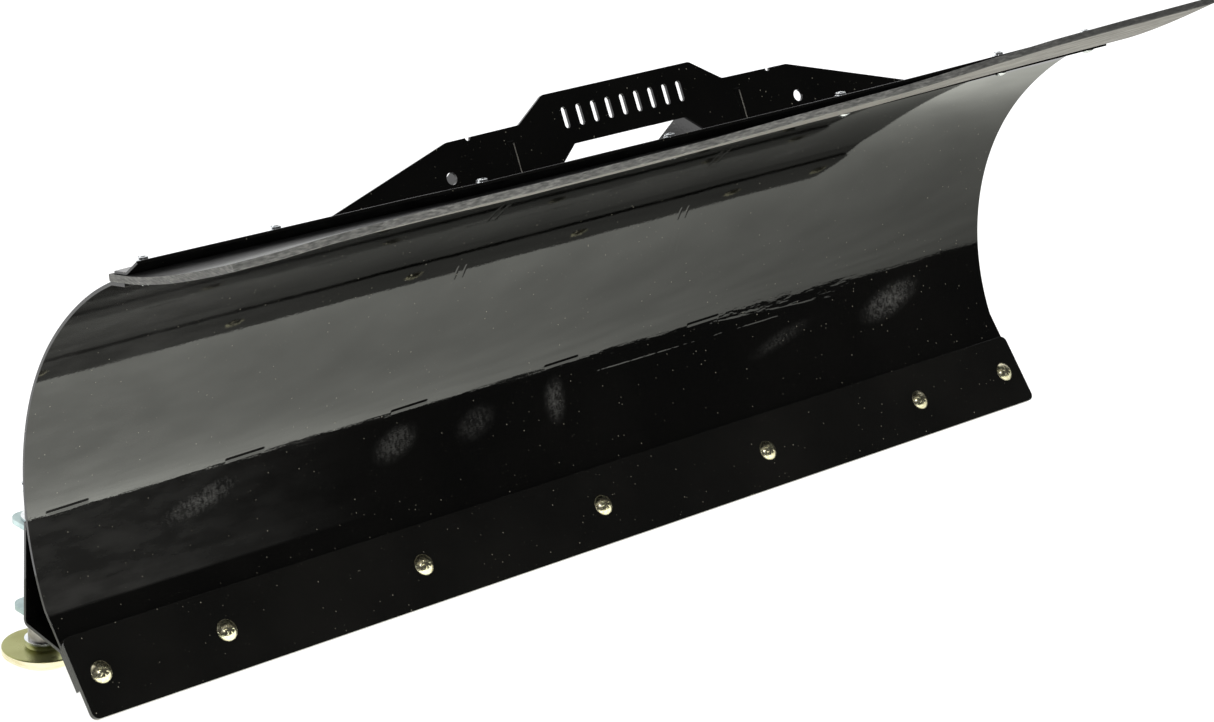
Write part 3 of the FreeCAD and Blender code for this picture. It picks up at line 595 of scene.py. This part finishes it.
# Climb of the lower face, in degrees, against the distance from the crease, at each end.
FLAP_LEFT = ((0.020, 11.5), (0.034, 13.7), (0.048, 15.9), (0.077, 18.3), (0.105, 20.8),
             (0.134, 21.8), (0.1753, 23.5))
FLAP_RIGHT = ((0.014, 11.5), (0.024, 20.5), (0.045, 25.0), (0.072, 28.0), (0.100, 30.0),
              (0.135, 31.5), (0.1753, 32.0))
# How far the section has gone from the left one to the right one, along X.
FLAP_TURN = ((-HALF, 0.05), (-0.565, 0.08), (-0.515, 0.18), (-0.44, 0.26), (-0.36, 0.30),
             (-0.30, 0.32), (-0.22, 0.37), (-0.10, 0.40), (-0.02, 0.48), (0.07, 0.55),
             (0.16, 0.62), (0.28, 0.82), (0.37, 0.92), (HALF, 1.0))


def sink(x):
    return blended(SINK, x)


def flap_line(weight):
    """Points and climbs of the lower face from back to front at one place along the blade."""
    across = math.cos(math.radians(90 - LIP_CLIMB)), math.sin(math.radians(90 - LIP_CLIMB))
    along = rise(LIP_CLIMB)
    y = CREASE[0] + across[0] * SHEET - along[0] * FLAP_BACK
    z = CREASE[1] + across[1] * SHEET - along[1] * FLAP_BACK
    step = FLAP_WIDE / FLAP_STEPS
    line = [(y, z, LIP_CLIMB)]
    for i in range(FLAP_STEPS):
        s = -FLAP_BACK + (i + 0.5) * step
        climb = blended(FLAP_LEFT, s) * (1 - weight) + blended(FLAP_RIGHT, s) * weight
        dy, dz = rise(climb)
        y, z = y + dy * step, z + dz * step
        line.append((y, z, climb))
    return line


def flap_edge(point, facing, corner):
    """Six points round one long edge of the flap, from the lower face to the upper one."""
    y, z, climb = point
    dy, dz = rise(climb)
    dy, dz = dy * facing, dz * facing
    low = [(y + dy * corner * share, z + dz * corner * share, corner * height)
           for share, height in ((1, 0), (0.3, 0.3), (0, 1))]
    high = [(a, b, FLAP_THICK - c) for a, b, c in reversed(low)]
    return [(a + abs(dz) * c, b + abs(dy) * c) for a, b, c in low + high]


def make_flap():
    bm = bmesh.new()
    corner = 0.0009
    rows = []
    for i in range(FLAP_STATIONS + 1):
        share = i / FLAP_STATIONS
        x = -HALF + 2 * HALF * share
        line = [(y, z - sink(x), climb) for y, z, climb in flap_line(blended(FLAP_TURN, x))]
        # closed outline: lower face front to back, then upper face back to front
        low = [(y, z) for y, z, _ in reversed(line[1:-1])]
        back = flap_edge(line[0], 1, corner)
        front = list(reversed(flap_edge(line[-1], -1, corner)))
        top = []
        for y, z, climb in line[1:-1]:
            dy, dz = rise(climb)
            top.append((y + dz * FLAP_THICK, z - dy * FLAP_THICK))
        row = []
        for y, z in low + back + top + front:
            pull = FLAP_PULL * share * ((CREASE[0] - y) / FLAP_WIDE) ** 2
            row.append(bm.verts.new((x - pull, y, z)))
        rows.append(row)
    faces = grid_faces(bm, rows, closed=True)
    for face in cap_ends(bm, rows):
        face.material_index = 1
    # cut edges at the front and at the back take the cut finish
    back_from = len(low) - 1
    back_to = len(low) + len(back)
    front_from = back_to + len(top) - 1
    for i in range(FLAP_STATIONS):
        for j in range(len(rows[0])):
            if back_from <= j < back_to or j >= front_from:
                faces[i * len(rows[0]) + j].material_index = 1
    flap = mesh_object("rubber_flap_formed", bm, RUBBER, RUBBER_CUT, flat_above=50)
    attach(flap, "blade")
    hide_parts("rubber_flap")


# ---------------------------------------------------------------- moldboard

FOOT_FROM, FOOT_TO = 0.029, 0.1049      # along the back of the wear bar, from its lower edge
ROLL = (28.2, -38.0, 0.235)             # headings at both ends, radius
UPPER = (-38.0, -60.0, 0.300)
LIP_DEPTH = 0.019
SINK_FROM = 0.0098          # behind this Y, where the top plate stands, nothing has sunk


def towards(degrees):
    """Unit (Y, Z) of a line that runs to the rear by this angle from upright."""
    a = math.radians(degrees)
    return Vector((math.sin(a), math.cos(a)))


def behind(degrees):
    """Unit (Y, Z) at right angles to that line, out of the sheet's back."""
    a = math.radians(degrees)
    return Vector((math.cos(a), -math.sin(a)))


def moldboard_section():
    """Points of the front face from its lower edge to the lip's edge, each with its offset direction."""
    back_low = Vector((SHIFT, BAR_THICK * math.sin(math.radians(FOOT_LEAN)))) + behind(FOOT_LEAN) * BAR_THICK
    up = towards(FOOT_LEAN)
    bend = back_low + up * FOOT_TO
    roll_middle = bend - behind(ROLL[0]) * ROLL[2]
    change = roll_middle + behind(ROLL[1]) * ROLL[2]
    upper_middle = change - behind(UPPER[0]) * UPPER[2]
    crease = upper_middle + behind(UPPER[1]) * UPPER[2]
    lip = towards(LIP_CLIMB - 90)
    chain = []

    def mitre(first, second):
        return behind((first + second) / 2) / math.cos(math.radians(first - second) / 2)

    length = FOOT_TO - FOOT_FROM
    for share in (0.0, 0.04, 0.1, 0.2, 0.3, 0.4, 0.5, 0.6, 0.7, 0.8, 0.88, 0.94, 0.975):
        chain.append((back_low + up * (FOOT_FROM + length * share), behind(FOOT_LEAN)))
    chain.append((bend, mitre(FOOT_LEAN, ROLL[0])))
    for middle, (start, end, radius), count in ((roll_middle, ROLL, 90), (upper_middle, UPPER, 34)):
        for i in range(1, count):
            a = start + (end - start) * i / count
            chain.append((middle + behind(a) * radius, behind(a)))
        if middle is roll_middle:
            chain.append((change, behind(end)))
    chain.append((crease, mitre(UPPER[1], LIP_CLIMB - 90)))
    for share in (0.08, 0.2, 0.4, 0.6, 0.8, 0.95, 1.0):
        chain.append((crease + lip * LIP_DEPTH * share, behind(LIP_CLIMB - 90)))
    return chain


def make_moldboard():
    bm = bmesh.new()
    chain = moldboard_section()
    outline = [point for point, _ in chain] + [point + off * SHEET for point, off in reversed(chain)]
    stations = 96
    rows = []
    for i in range(stations + 1):
        x = -HALF + 2 * HALF * i / stations
        row = []
        for y, z in outline:
            share = 0.0
            if z > 0.3:
                share = min(1.0, max(0.0, (SINK_FROM - y) / (SINK_FROM - CREASE[0])))
            row.append(bm.verts.new((x, y, z - sink(x) * share * share * (3 - 2 * share))))
        rows.append(row)
    grid_faces(bm, rows, closed=True)
    cap_ends(bm, rows)
    piece = mesh_object("moldboard_formed", bm, MOLDBOARD, flat_above=30)
    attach(piece, "blade")
    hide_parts("moldboard")


# ---------------------------------------------------------------- retainer

RETAINER_BACK = 0.0039      # its rear edge, from the crease along the lip
RETAINER_FOOT = 0.0173
RETAINER_LEG = 0.021
RETAINER_END = HALF - 0.0016
# Turn of the leg against the foot, in degrees, along the blade
RETAINER_BEND = ((-RETAINER_END, 30.5), (-0.50, 30.5), (0.0, 31.0), (RETAINER_END, 31.0))


def make_retainer():
    bm = bmesh.new()
    along = Vector(rise(LIP_CLIMB))
    up = Vector((along[1], -along[0]))
    start = Vector(CREASE) + up * (SHEET + FLAP_THICK) + along * RETAINER_BACK
    outer, steps = 0.005, 7     # outer radius of the bend, and its parts
    rounding = 0.0004
    rows = []
    stations = 80
    for i in range(stations + 1):
        x = -RETAINER_END + 2 * RETAINER_END * i / stations
        bend = blended(RETAINER_BEND, x)
        trim = outer * math.tan(math.radians(bend / 2))
        inset = rounding if i in (0, stations) else 0.0

        def offset_line(height):
            """Foot, bend and leg of one face, from the rear edge to the top edge."""
            radius = outer - height
            pivot = start + along * (RETAINER_FOOT - trim) + up * outer
            points = [start + up * height + along * (rounding if height in (0, SHEET) else 0)]
            for k in range(steps + 1):
                a = math.radians(bend) * k / steps
                points.append(pivot - up * radius * math.cos(a) + along * radius * math.sin(a))
            a = math.radians(bend)
            leg = along * math.cos(a) + up * math.sin(a)
            side = up * math.cos(a) - along * math.sin(a)
            corner = start + along * RETAINER_FOOT
            tip = corner + leg * (RETAINER_LEG - (rounding if height in (0, SHEET) else 0)) + side * height
            points.append(tip)
            return points

        def with_corners(line, beside):
            """One face's line with a point more at each end, so that its long edges are rounded."""
            if inset:
                return [line[0]] + line + [line[-1]]
            return [beside[0] - along * rounding] + line + [beside[-1]]

        low = with_corners(offset_line(inset), offset_line(rounding))
        high = with_corners(offset_line(SHEET - inset), offset_line(SHEET - rounding))
        outline = low + list(reversed(high))
        rows.append([bm.verts.new((x, y, z - sink(x))) for y, z in outline])
    grid_faces(bm, rows, closed=True)
    cap_ends(bm, rows)
    bmesh.ops.remove_doubles(bm, verts=bm.verts, dist=1e-6)
    piece = mesh_object("retainer_formed", bm, BLACK, flat_above=24)
    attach(piece, "blade")
    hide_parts("flap_retainer")


# ---------------------------------------------------------------- bolts and nuts

BAR_LEAN = math.radians(FOOT_LEAN)
BAR_UP = Vector((0, math.sin(BAR_LEAN), math.cos(BAR_LEAN)))
BAR_IN = Vector((0, math.cos(BAR_LEAN), -math.sin(BAR_LEAN)))
BAR_POINT = Vector((0, SHIFT, BAR_THICK * math.sin(BAR_LEAN))) + BAR_UP * 0.0381
BOLT_SPREAD = (0.0, 0.385, 0.7713, 1.0)
OUTERMOST = HALF - 0.0242
LIP_BOLTS = 0.0125          # from the crease, along the lip
COLUMNS = sorted({side * share * OUTERMOST for side in (-1, 1) for share in BOLT_SPREAD})


def ring(bm, radius, height, count, phase=0.0):
    return [bm.verts.new((radius * math.cos(phase + math.tau * k / count),
                          radius * math.sin(phase + math.tau * k / count), height)) for k in range(count)]


def stack(bm, profile, count):
    """Turned surface through (radius, height) pairs, closed where the radius is 0."""
    previous, tip = None, None
    for radius, height in profile:
        if radius == 0:
            point = bm.verts.new((0, 0, height))
            if previous:
                for k in range(count):
                    bm.faces.new((previous[k], previous[(k + 1) % count], point))
            previous, tip = None, point
            continue
        current = ring(bm, radius, height, count)
        if previous:
            for k in range(count):
                j = (k + 1) % count
                bm.faces.new((previous[k], previous[j], current[j], current[k]))
        elif tip:
            for k in range(count):
                bm.faces.new((tip, current[k], current[(k + 1) % count]))
        previous = current


def thread(bm, radius, pitch, start, end):
    """Helical thread with a cut-back tip, from start to end along +Z."""
    count = 24
    per_turn = 6
    steps = int((end - start) / pitch * per_turn)
    depth = pitch * 0.5
    rows = []
    for i in range(steps + 1):
        z = start + (end - start) * i / steps
        row = []
        for k in range(count):
            phase = (z / pitch - k / count) % 1.0
            tooth = abs(phase - 0.5) * 2
            r = radius - depth * min(1.0, max(0.0, 1.25 * tooth - 0.12))
            taper = max(0.0, (z - (end - pitch)) / pitch)
            r = min(r, radius - taper * pitch * 0.8)
            turned = math.tau * k / count
            row.append(bm.verts.new((r * math.cos(turned), r * math.sin(turned), z)))
        rows.append(row)
    grid_faces(bm, rows, closed=True)
    bm.faces.new(list(reversed(rows[0])))
    bm.faces.new(rows[-1])


def domed_head(bm, radius, depth, marks, turn):
    """Carriage bolt head that looks along -Z: a dome over a thin rim, with raised radial marks."""
    ball = (radius ** 2 + depth ** 2) / (2 * depth)
    reach = math.asin(radius / ball)
    cap = [(0.0, -depth)]
    for i in range(1, 15):
        a = reach * i / 15
        cap.append((ball * math.sin(a), -depth + ball * (1 - math.cos(a))))
    cap += [(radius * 0.985, -0.00062), (radius, -0.00030), (radius * 0.992, -0.00003)]
    cap += [(radius * 0.5, 0.0), (0.0, 0.0)]
    stack(bm, cap, 56)
    for m in range(marks):
        angle = turn + math.tau * m / marks
        c, s = math.cos(angle), math.sin(angle)
        rows = []
        for i in range(9):
            r = radius * (0.20 + 0.36 * i / 8)
            base = -depth + ball - math.sqrt(ball ** 2 - r ** 2)
            lift = radius * 0.050 * min(1.0, 2.6 * min(i, 8 - i) / 8 + 0.12)
            half = radius * 0.040
            row = []
            for side, height in ((-1.6, -0.4), (-0.8, 0.75), (0, 1.0), (0.8, 0.75), (1.6, -0.4)):
                x, y = r * c - side * half * s, r * s + side * half * c
                row.append(bm.verts.new((x, y, base - lift * height)))
            rows.append(row)
        grid_faces(bm, rows)
        cap_ends(bm, rows)


def aimed(place, direction):
    """Matrix that carries +Z onto a direction at a place."""
    z = Vector(direction).normalized()
    x = Vector((1, 0, 0))
    y = z.cross(x).normalized()
    base = Matrix((x, y, z)).transposed()
    return Matrix.Translation(place) @ base.to_4x4()


def copies(name, build, places, node, slot, *materials):
    """One piece made of the same small part at several places, numbered from the left."""
    whole = bmesh.new()
    for number, matrix in enumerate(places):
        part = bmesh.new()
        build(part, number)
        bmesh.ops.recalc_face_normals(part, faces=part.faces)
        bmesh.ops.transform(part, matrix=matrix, verts=part.verts)
        mesh = bpy.data.meshes.new("part")
        part.to_mesh(mesh)
        part.free()
        whole.from_mesh(mesh)
        bpy.data.meshes.remove(mesh)
    piece = finished(name, whole, materials, 32)
    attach(piece, "blade")
    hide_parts(node)


def neck_and_thread(bm, radius, neck, pitch, end):
    """Square neck under a carriage bolt's head, then its thread."""
    corners = ((-1, -1), (1, -1), (1, 1), (-1, 1))
    rows = [[bm.verts.new((x * radius, y * radius, z)) for x, y in corners] for z in (0.0, neck)]
    grid_faces(bm, rows, closed=True)
    bm.faces.new(list(reversed(rows[0])))
    bm.faces.new(rows[1])
    thread(bm, radius, pitch, neck, end)


def bar_bolt(bm, number):
    domed_head(bm, radius=0.0103, depth=0.005, marks=6, turn=0.35 + 1.9 * number)
    neck_and_thread(bm, radius=0.00475, neck=0.0072, pitch=0.0015875, end=0.0254)


def flap_bolt(bm, number):
    domed_head(bm, radius=0.00755, depth=0.0037, marks=3, turn=0.8 + 2.3 * number)
    neck_and_thread(bm, radius=0.003175, neck=0.0045, pitch=0.00127, end=0.0208)


def bar_nut(bm, number):
    lock_nut(bm, flats=0.0143, height=0.0111, bore=0.0095, turn=0.2 + 1.3 * number)


def flap_nut(bm, number):
    lock_nut(bm, flats=0.0111, height=0.0079, bore=0.00635, turn=0.5 + 1.7 * number)


def lock_nut(bm, flats, height, bore, turn):
    """Hex nut with chamfered corners and a rolled crown over its nylon ring; it stands on z = 0."""
    count = 72
    corner = flats / math.sqrt(3)

    def hexagon(limit, z):
        row = []
        for k in range(count):
            a = math.tau * k / count
            r = flats / 2 / math.cos((a + math.pi / 6) % (math.pi / 3) - math.pi / 6)
            r = min(r, limit)
            row.append(bm.verts.new((r * math.cos(a + turn), r * math.sin(a + turn), z)))
        return row

    top = height * 0.70
    sides = ((flats * 0.475, 0.0), (flats * 0.50, height * 0.015), (corner * 0.93, height * 0.045),
             (corner * 0.985, height * 0.08), (corner, height * 0.12), (corner, top - height * 0.10),
             (corner * 0.97, top - height * 0.055), (corner * 0.92, top - height * 0.02),
             (flats * 0.50, top), (flats * 0.455, top + height * 0.01))
    rows = [hexagon(limit, z) for limit, z in sides]
    crown = flats * 0.44
    inner = bore / 2 + 0.00045
    for r, z in ((crown, top + height * 0.05), (crown, height * 0.90), (crown * 0.97, height * 0.955),
                 (crown * 0.90, height * 0.99), (crown * 0.80, height), (crown * 0.745, height * 0.985),
                 (crown * 0.725, height * 0.955)):
        rows.append(ring(bm, r, z, count, turn))
    grid_faces(bm, rows, closed=True)
    bore_wall = ((crown * 0.735, height * 0.952), (inner * 1.04, height * 0.945),
                 (inner, height * 0.925), (inner, 0.0))
    plug = [ring(bm, r, z, count, turn) for r, z in bore_wall]
    grid_faces(bm, plug[:3], closed=True, material=1)
    grid_faces(bm, plug[2:], closed=True)
    base = ring(bm, inner, 0.0, count, turn)
    grid_faces(bm, [base, rows[0]], closed=True)
    bmesh.ops.remove_doubles(bm, verts=bm.verts, dist=1e-7)


def make_fasteners():
    bar_top = BAR_POINT + BAR_IN * (BAR_THICK + 2 * SHEET)
    along = rise(LIP_CLIMB)
    out = Vector((0, math.sin(math.radians(LIP_CLIMB)), math.cos(math.radians(LIP_CLIMB))))
    base = Vector((0, CREASE[0] + along[0] * LIP_BOLTS, CREASE[1] + along[1] * LIP_BOLTS))
    top = base + out * (2 * SHEET + FLAP_THICK)
    bar_low = [aimed(BAR_POINT + Vector((x, 0, 0)), BAR_IN) for x in COLUMNS]
    bar_high = [aimed(bar_top + Vector((x, 0, 0)), BAR_IN) for x in COLUMNS]
    lip_low = [aimed(base + Vector((x, 0, -sink(x))), out) for x in COLUMNS]
    lip_high = [aimed(top + Vector((x, 0, -sink(x))), out) for x in COLUMNS]
    copies("bar_bolts_marked", bar_bolt, bar_low, "wear_bar_bolts", "yellow_zinc", GOLD)
    copies("bar_nuts_crowned", bar_nut, bar_high, "wear_bar_nuts", "clear_zinc", SILVER, NYLON)
    copies("flap_bolts_marked", flap_bolt, lip_low, "flap_bolts", "clear_zinc", SILVER)
    copies("flap_nuts_crowned", flap_nut, lip_high, "flap_nuts", "clear_zinc", SILVER, NYLON)


make_moldboard()
make_flap()
make_retainer()
make_fasteners()


# ---------------------------------------------------------------- weld at the tips of the rib tabs

PLATE_LEAN = 27.3
PLATE_FOOT = Vector((0.0098, 0.3943))
TAB_TOP = 0.041
BEADS = 5                   # of one weld, side by side
BEAD_RADIUS = 0.0011
BEAD_MIDDLE = 0.0015        # half the plate's thickness
BEAD_REACH = 0.0017         # from there to both ends, just out of the plate


def make_tab_welds():
    """Small beads that close each slot of the top plate over its rib tab."""
    bm = bmesh.new()
    up, back = towards(PLATE_LEAN), behind(PLATE_LEAN)
    for side in (-1, 1):
        for k in range(BEADS):
            middle = side * TAB_MIDDLE + (k - 2) / 2 * (TAB_HALF - 0.0008)
            rows = []
            for i in range(9):
                a = math.pi * i / 8
                depth = BEAD_MIDDLE - math.cos(a) * BEAD_REACH
                wide = BEAD_RADIUS + 0.0001 * math.sin(a)
                row = []
                for j in range(10):
                    b = math.tau * j / 10
                    point = PLATE_FOOT + up * (TAB_TOP + 0.0004 + math.sin(b) * wide) + back * depth
                    row.append(bm.verts.new((middle + math.cos(b) * wide, point[0], point[1])))
                rows.append(row)
            grid_faces(bm, rows, closed=True)
            cap_ends(bm, rows)
    piece = mesh_object("tab_tip_welds", bm, BLACK)
    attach(piece, "blade")


make_tab_welds()


# ---------------------------------------------------------------- floor and light

def stage_material(name, colour, glow):
    """A plain sheet of the studio that glows evenly, so that it stays bright beside the object."""
    material = bpy.data.materials.new(name)
    material.use_nodes = True
    shader = material.node_tree.nodes["Principled BSDF"]
    shader.inputs["Base Color"].default_value = (*colour, 1)
    shader.inputs["Roughness"].default_value = 0.9
    shader.inputs["Emission Color"].default_value = (1, 1, 1, 1)
    shader.inputs["Emission Strength"].default_value = glow
    return material


FLOOR_WHITE = stage_material("floor_white", (0.30, 0.30, 0.30), 0.86)


def plane(name, x0, y0, x1, y1, z, material):
    """A level sheet of the studio, left out of the part."""
    mesh = bpy.data.meshes.new(name)
    mesh.from_pydata([(x0, y0, z), (x1, y0, z), (x1, y1, z), (x0, y1, z)], [], [(0, 1, 2, 3)])
    mesh.materials.append(material)
    piece = bpy.data.objects.new(name, mesh)
    scene.collection.objects.link(piece)
    return piece


def glow_material():
    """Light that the gloss sees from below: a soft pool on the bright sheet round the object."""
    material = bpy.data.materials.new("glow")
    material.use_nodes = True
    tree = material.node_tree
    tree.nodes.clear()
    out = tree.nodes.new("ShaderNodeOutputMaterial")
    light = tree.nodes.new("ShaderNodeEmission")
    place = tree.nodes.new("ShaderNodeTexCoord")
    away = tree.nodes.new("ShaderNodeVectorMath")
    away.operation = "DISTANCE"
    away.inputs[1].default_value = (*GLOW_MIDDLE, 0)
    tree.links.new(place.outputs["Object"], away.inputs[0])
    value = away.outputs["Value"]
    for operation, number in (("POWER", 2.0), ("ADD", GLOW_SPREAD ** 2), ("POWER", -2.0),
                              ("MULTIPLY", GLOW_PEAK * GLOW_SPREAD ** 4), ("ADD", GLOW_REST)):
        node = tree.nodes.new("ShaderNodeMath")
        node.operation = operation
        tree.links.new(value, node.inputs[0])
        node.inputs[1].default_value = number
        value = node.outputs[0]
    # past the object's right end the sheet is out of its shade
    split = tree.nodes.new("ShaderNodeSeparateXYZ")
    tree.links.new(place.outputs["Object"], split.inputs[0])
    lean = tree.nodes.new("ShaderNodeMath")
    lean.operation = "MULTIPLY_ADD"
    tree.links.new(split.outputs["X"], lean.inputs[0])
    lean.inputs[1].default_value = 0.5
    tree.links.new(split.outputs["Y"], lean.inputs[2])
    open_side = tree.nodes.new("ShaderNodeMapRange")
    open_side.interpolation_type = "SMOOTHSTEP"
    for socket, number in zip(open_side.inputs[1:5], (0.44, 0.72, 0.0, 0.62)):
        socket.default_value = number
    tree.links.new(lean.outputs[0], open_side.inputs[0])
    total = tree.nodes.new("ShaderNodeMath")
    tree.links.new(value, total.inputs[0])
    tree.links.new(open_side.outputs[0], total.inputs[1])
    # faint unevenness of the lit sheet
    cloud = tree.nodes.new("ShaderNodeTexNoise")
    cloud.inputs["Scale"].default_value = 9.0
    cloud.inputs["Detail"].default_value = 4.0
    tree.links.new(place.outputs["Object"], cloud.inputs["Vector"])
    uneven = tree.nodes.new("ShaderNodeMapRange")
    for socket, number in zip(uneven.inputs[1:5], (0.3, 0.7, 0.90, 1.10)):
        socket.default_value = number
    tree.links.new(cloud.outputs["Fac"], uneven.inputs[0])
    mottled = tree.nodes.new("ShaderNodeMath")
    mottled.operation = "MULTIPLY"
    tree.links.new(total.outputs[0], mottled.inputs[0])
    tree.links.new(uneven.outputs[0], mottled.inputs[1])
    light.inputs["Color"].default_value = (0.985, 1.0, 0.91, 1)
    tree.links.new(mottled.outputs[0], light.inputs["Strength"])
    tree.links.new(light.outputs[0], out.inputs["Surface"])
    return material


GLOW_MIDDLE = (-0.47, -1.72)
GLOW_SPREAD = 0.946
GLOW_PEAK = 30.0
GLOW_REST = 0.02

FLOOR_REACH = 14
FLOOR_LEVEL = -0.0005
GLOW_LEVEL = -0.0004
GLOW_FRONT = -0.72          # the dark room begins this far in front of the middle
GLOW_BACK = 0.30
GLOW_SPLIT = -0.7           # left of this X the sheet behind is brighter
GLOW_END = 8.0

floor = plane("floor", -FLOOR_REACH, -FLOOR_REACH, FLOOR_REACH, FLOOR_REACH, FLOOR_LEVEL, FLOOR_WHITE)
floor.visible_glossy = False
front = plane("floor_glow", -3.0, GLOW_FRONT, 3.0, GLOW_BACK, GLOW_LEVEL, glow_material())
back = plane("floor_behind", GLOW_SPLIT, GLOW_BACK, 6.0, GLOW_END, GLOW_LEVEL,
             stage_material("glow_behind", (0.0, 0.0, 0.0), 1.05))
left = plane("floor_left", -6.0, GLOW_BACK, GLOW_SPLIT, GLOW_END, GLOW_LEVEL,
             stage_material("glow_left", (0.0, 0.0, 0.0), 1.8))
for sheet in (front, back, left):
    sheet.visible_camera = False
    sheet.visible_diffuse = False
    sheet.visible_shadow = False
    sheet.visible_transmission = False

world = bpy.data.worlds.new("studio")
scene.world = world
world.use_nodes = True
tree = world.node_tree
tree.nodes.clear()
world_out = tree.nodes.new("ShaderNodeOutputWorld")
dome = tree.nodes.new("ShaderNodeBackground")
dome.inputs["Color"].default_value = (1, 1, 1, 1)
dome.inputs["Strength"].default_value = 1.08
# What gloss sees above the floor: a dark room in front, a pale backdrop behind the object.
room = tree.nodes.new("ShaderNodeBackground")
direction = tree.nodes.new("ShaderNodeTexCoord")
split = tree.nodes.new("ShaderNodeSeparateXYZ")
backdrop = tree.nodes.new("ShaderNodeMapRange")
backdrop.interpolation_type = "SMOOTHSTEP"
for socket, value in zip(backdrop.inputs[1:5], (0.0, 0.55, 0.035, 1.1)):
    socket.default_value = value
tree.links.new(direction.outputs["Generated"], split.inputs[0])
tree.links.new(split.outputs["Y"], backdrop.inputs[0])
tree.links.new(backdrop.outputs[0], room.inputs["Strength"])
room.inputs["Color"].default_value = (1, 1, 1, 1)
rays = tree.nodes.new("ShaderNodeLightPath")
choose = tree.nodes.new("ShaderNodeMixShader")
tree.links.new(rays.outputs["Is Glossy Ray"], choose.inputs[0])
tree.links.new(dome.outputs[0], choose.inputs[1])
tree.links.new(room.outputs[0], choose.inputs[2])
tree.links.new(choose.outputs[0], world_out.inputs["Surface"])


def card(name, place, target, size, power):
    """A soft square studio light."""
    data = bpy.data.lights.new(name, "AREA")
    data.shape = "RECTANGLE"
    data.size, data.size_y = size, size
    data.energy = power
    light = bpy.data.objects.new(name, data)
    scene.collection.objects.link(light)
    direction = Vector(target) - Vector(place)
    light.rotation_mode = "QUATERNION"
    light.location = place
    light.rotation_quaternion = direction.to_track_quat("-Z", "Y")
    light.visible_camera = False


card("key", (-1.6, -2.6, 3.2), (0, 0, 0.2), 0.5, 14)
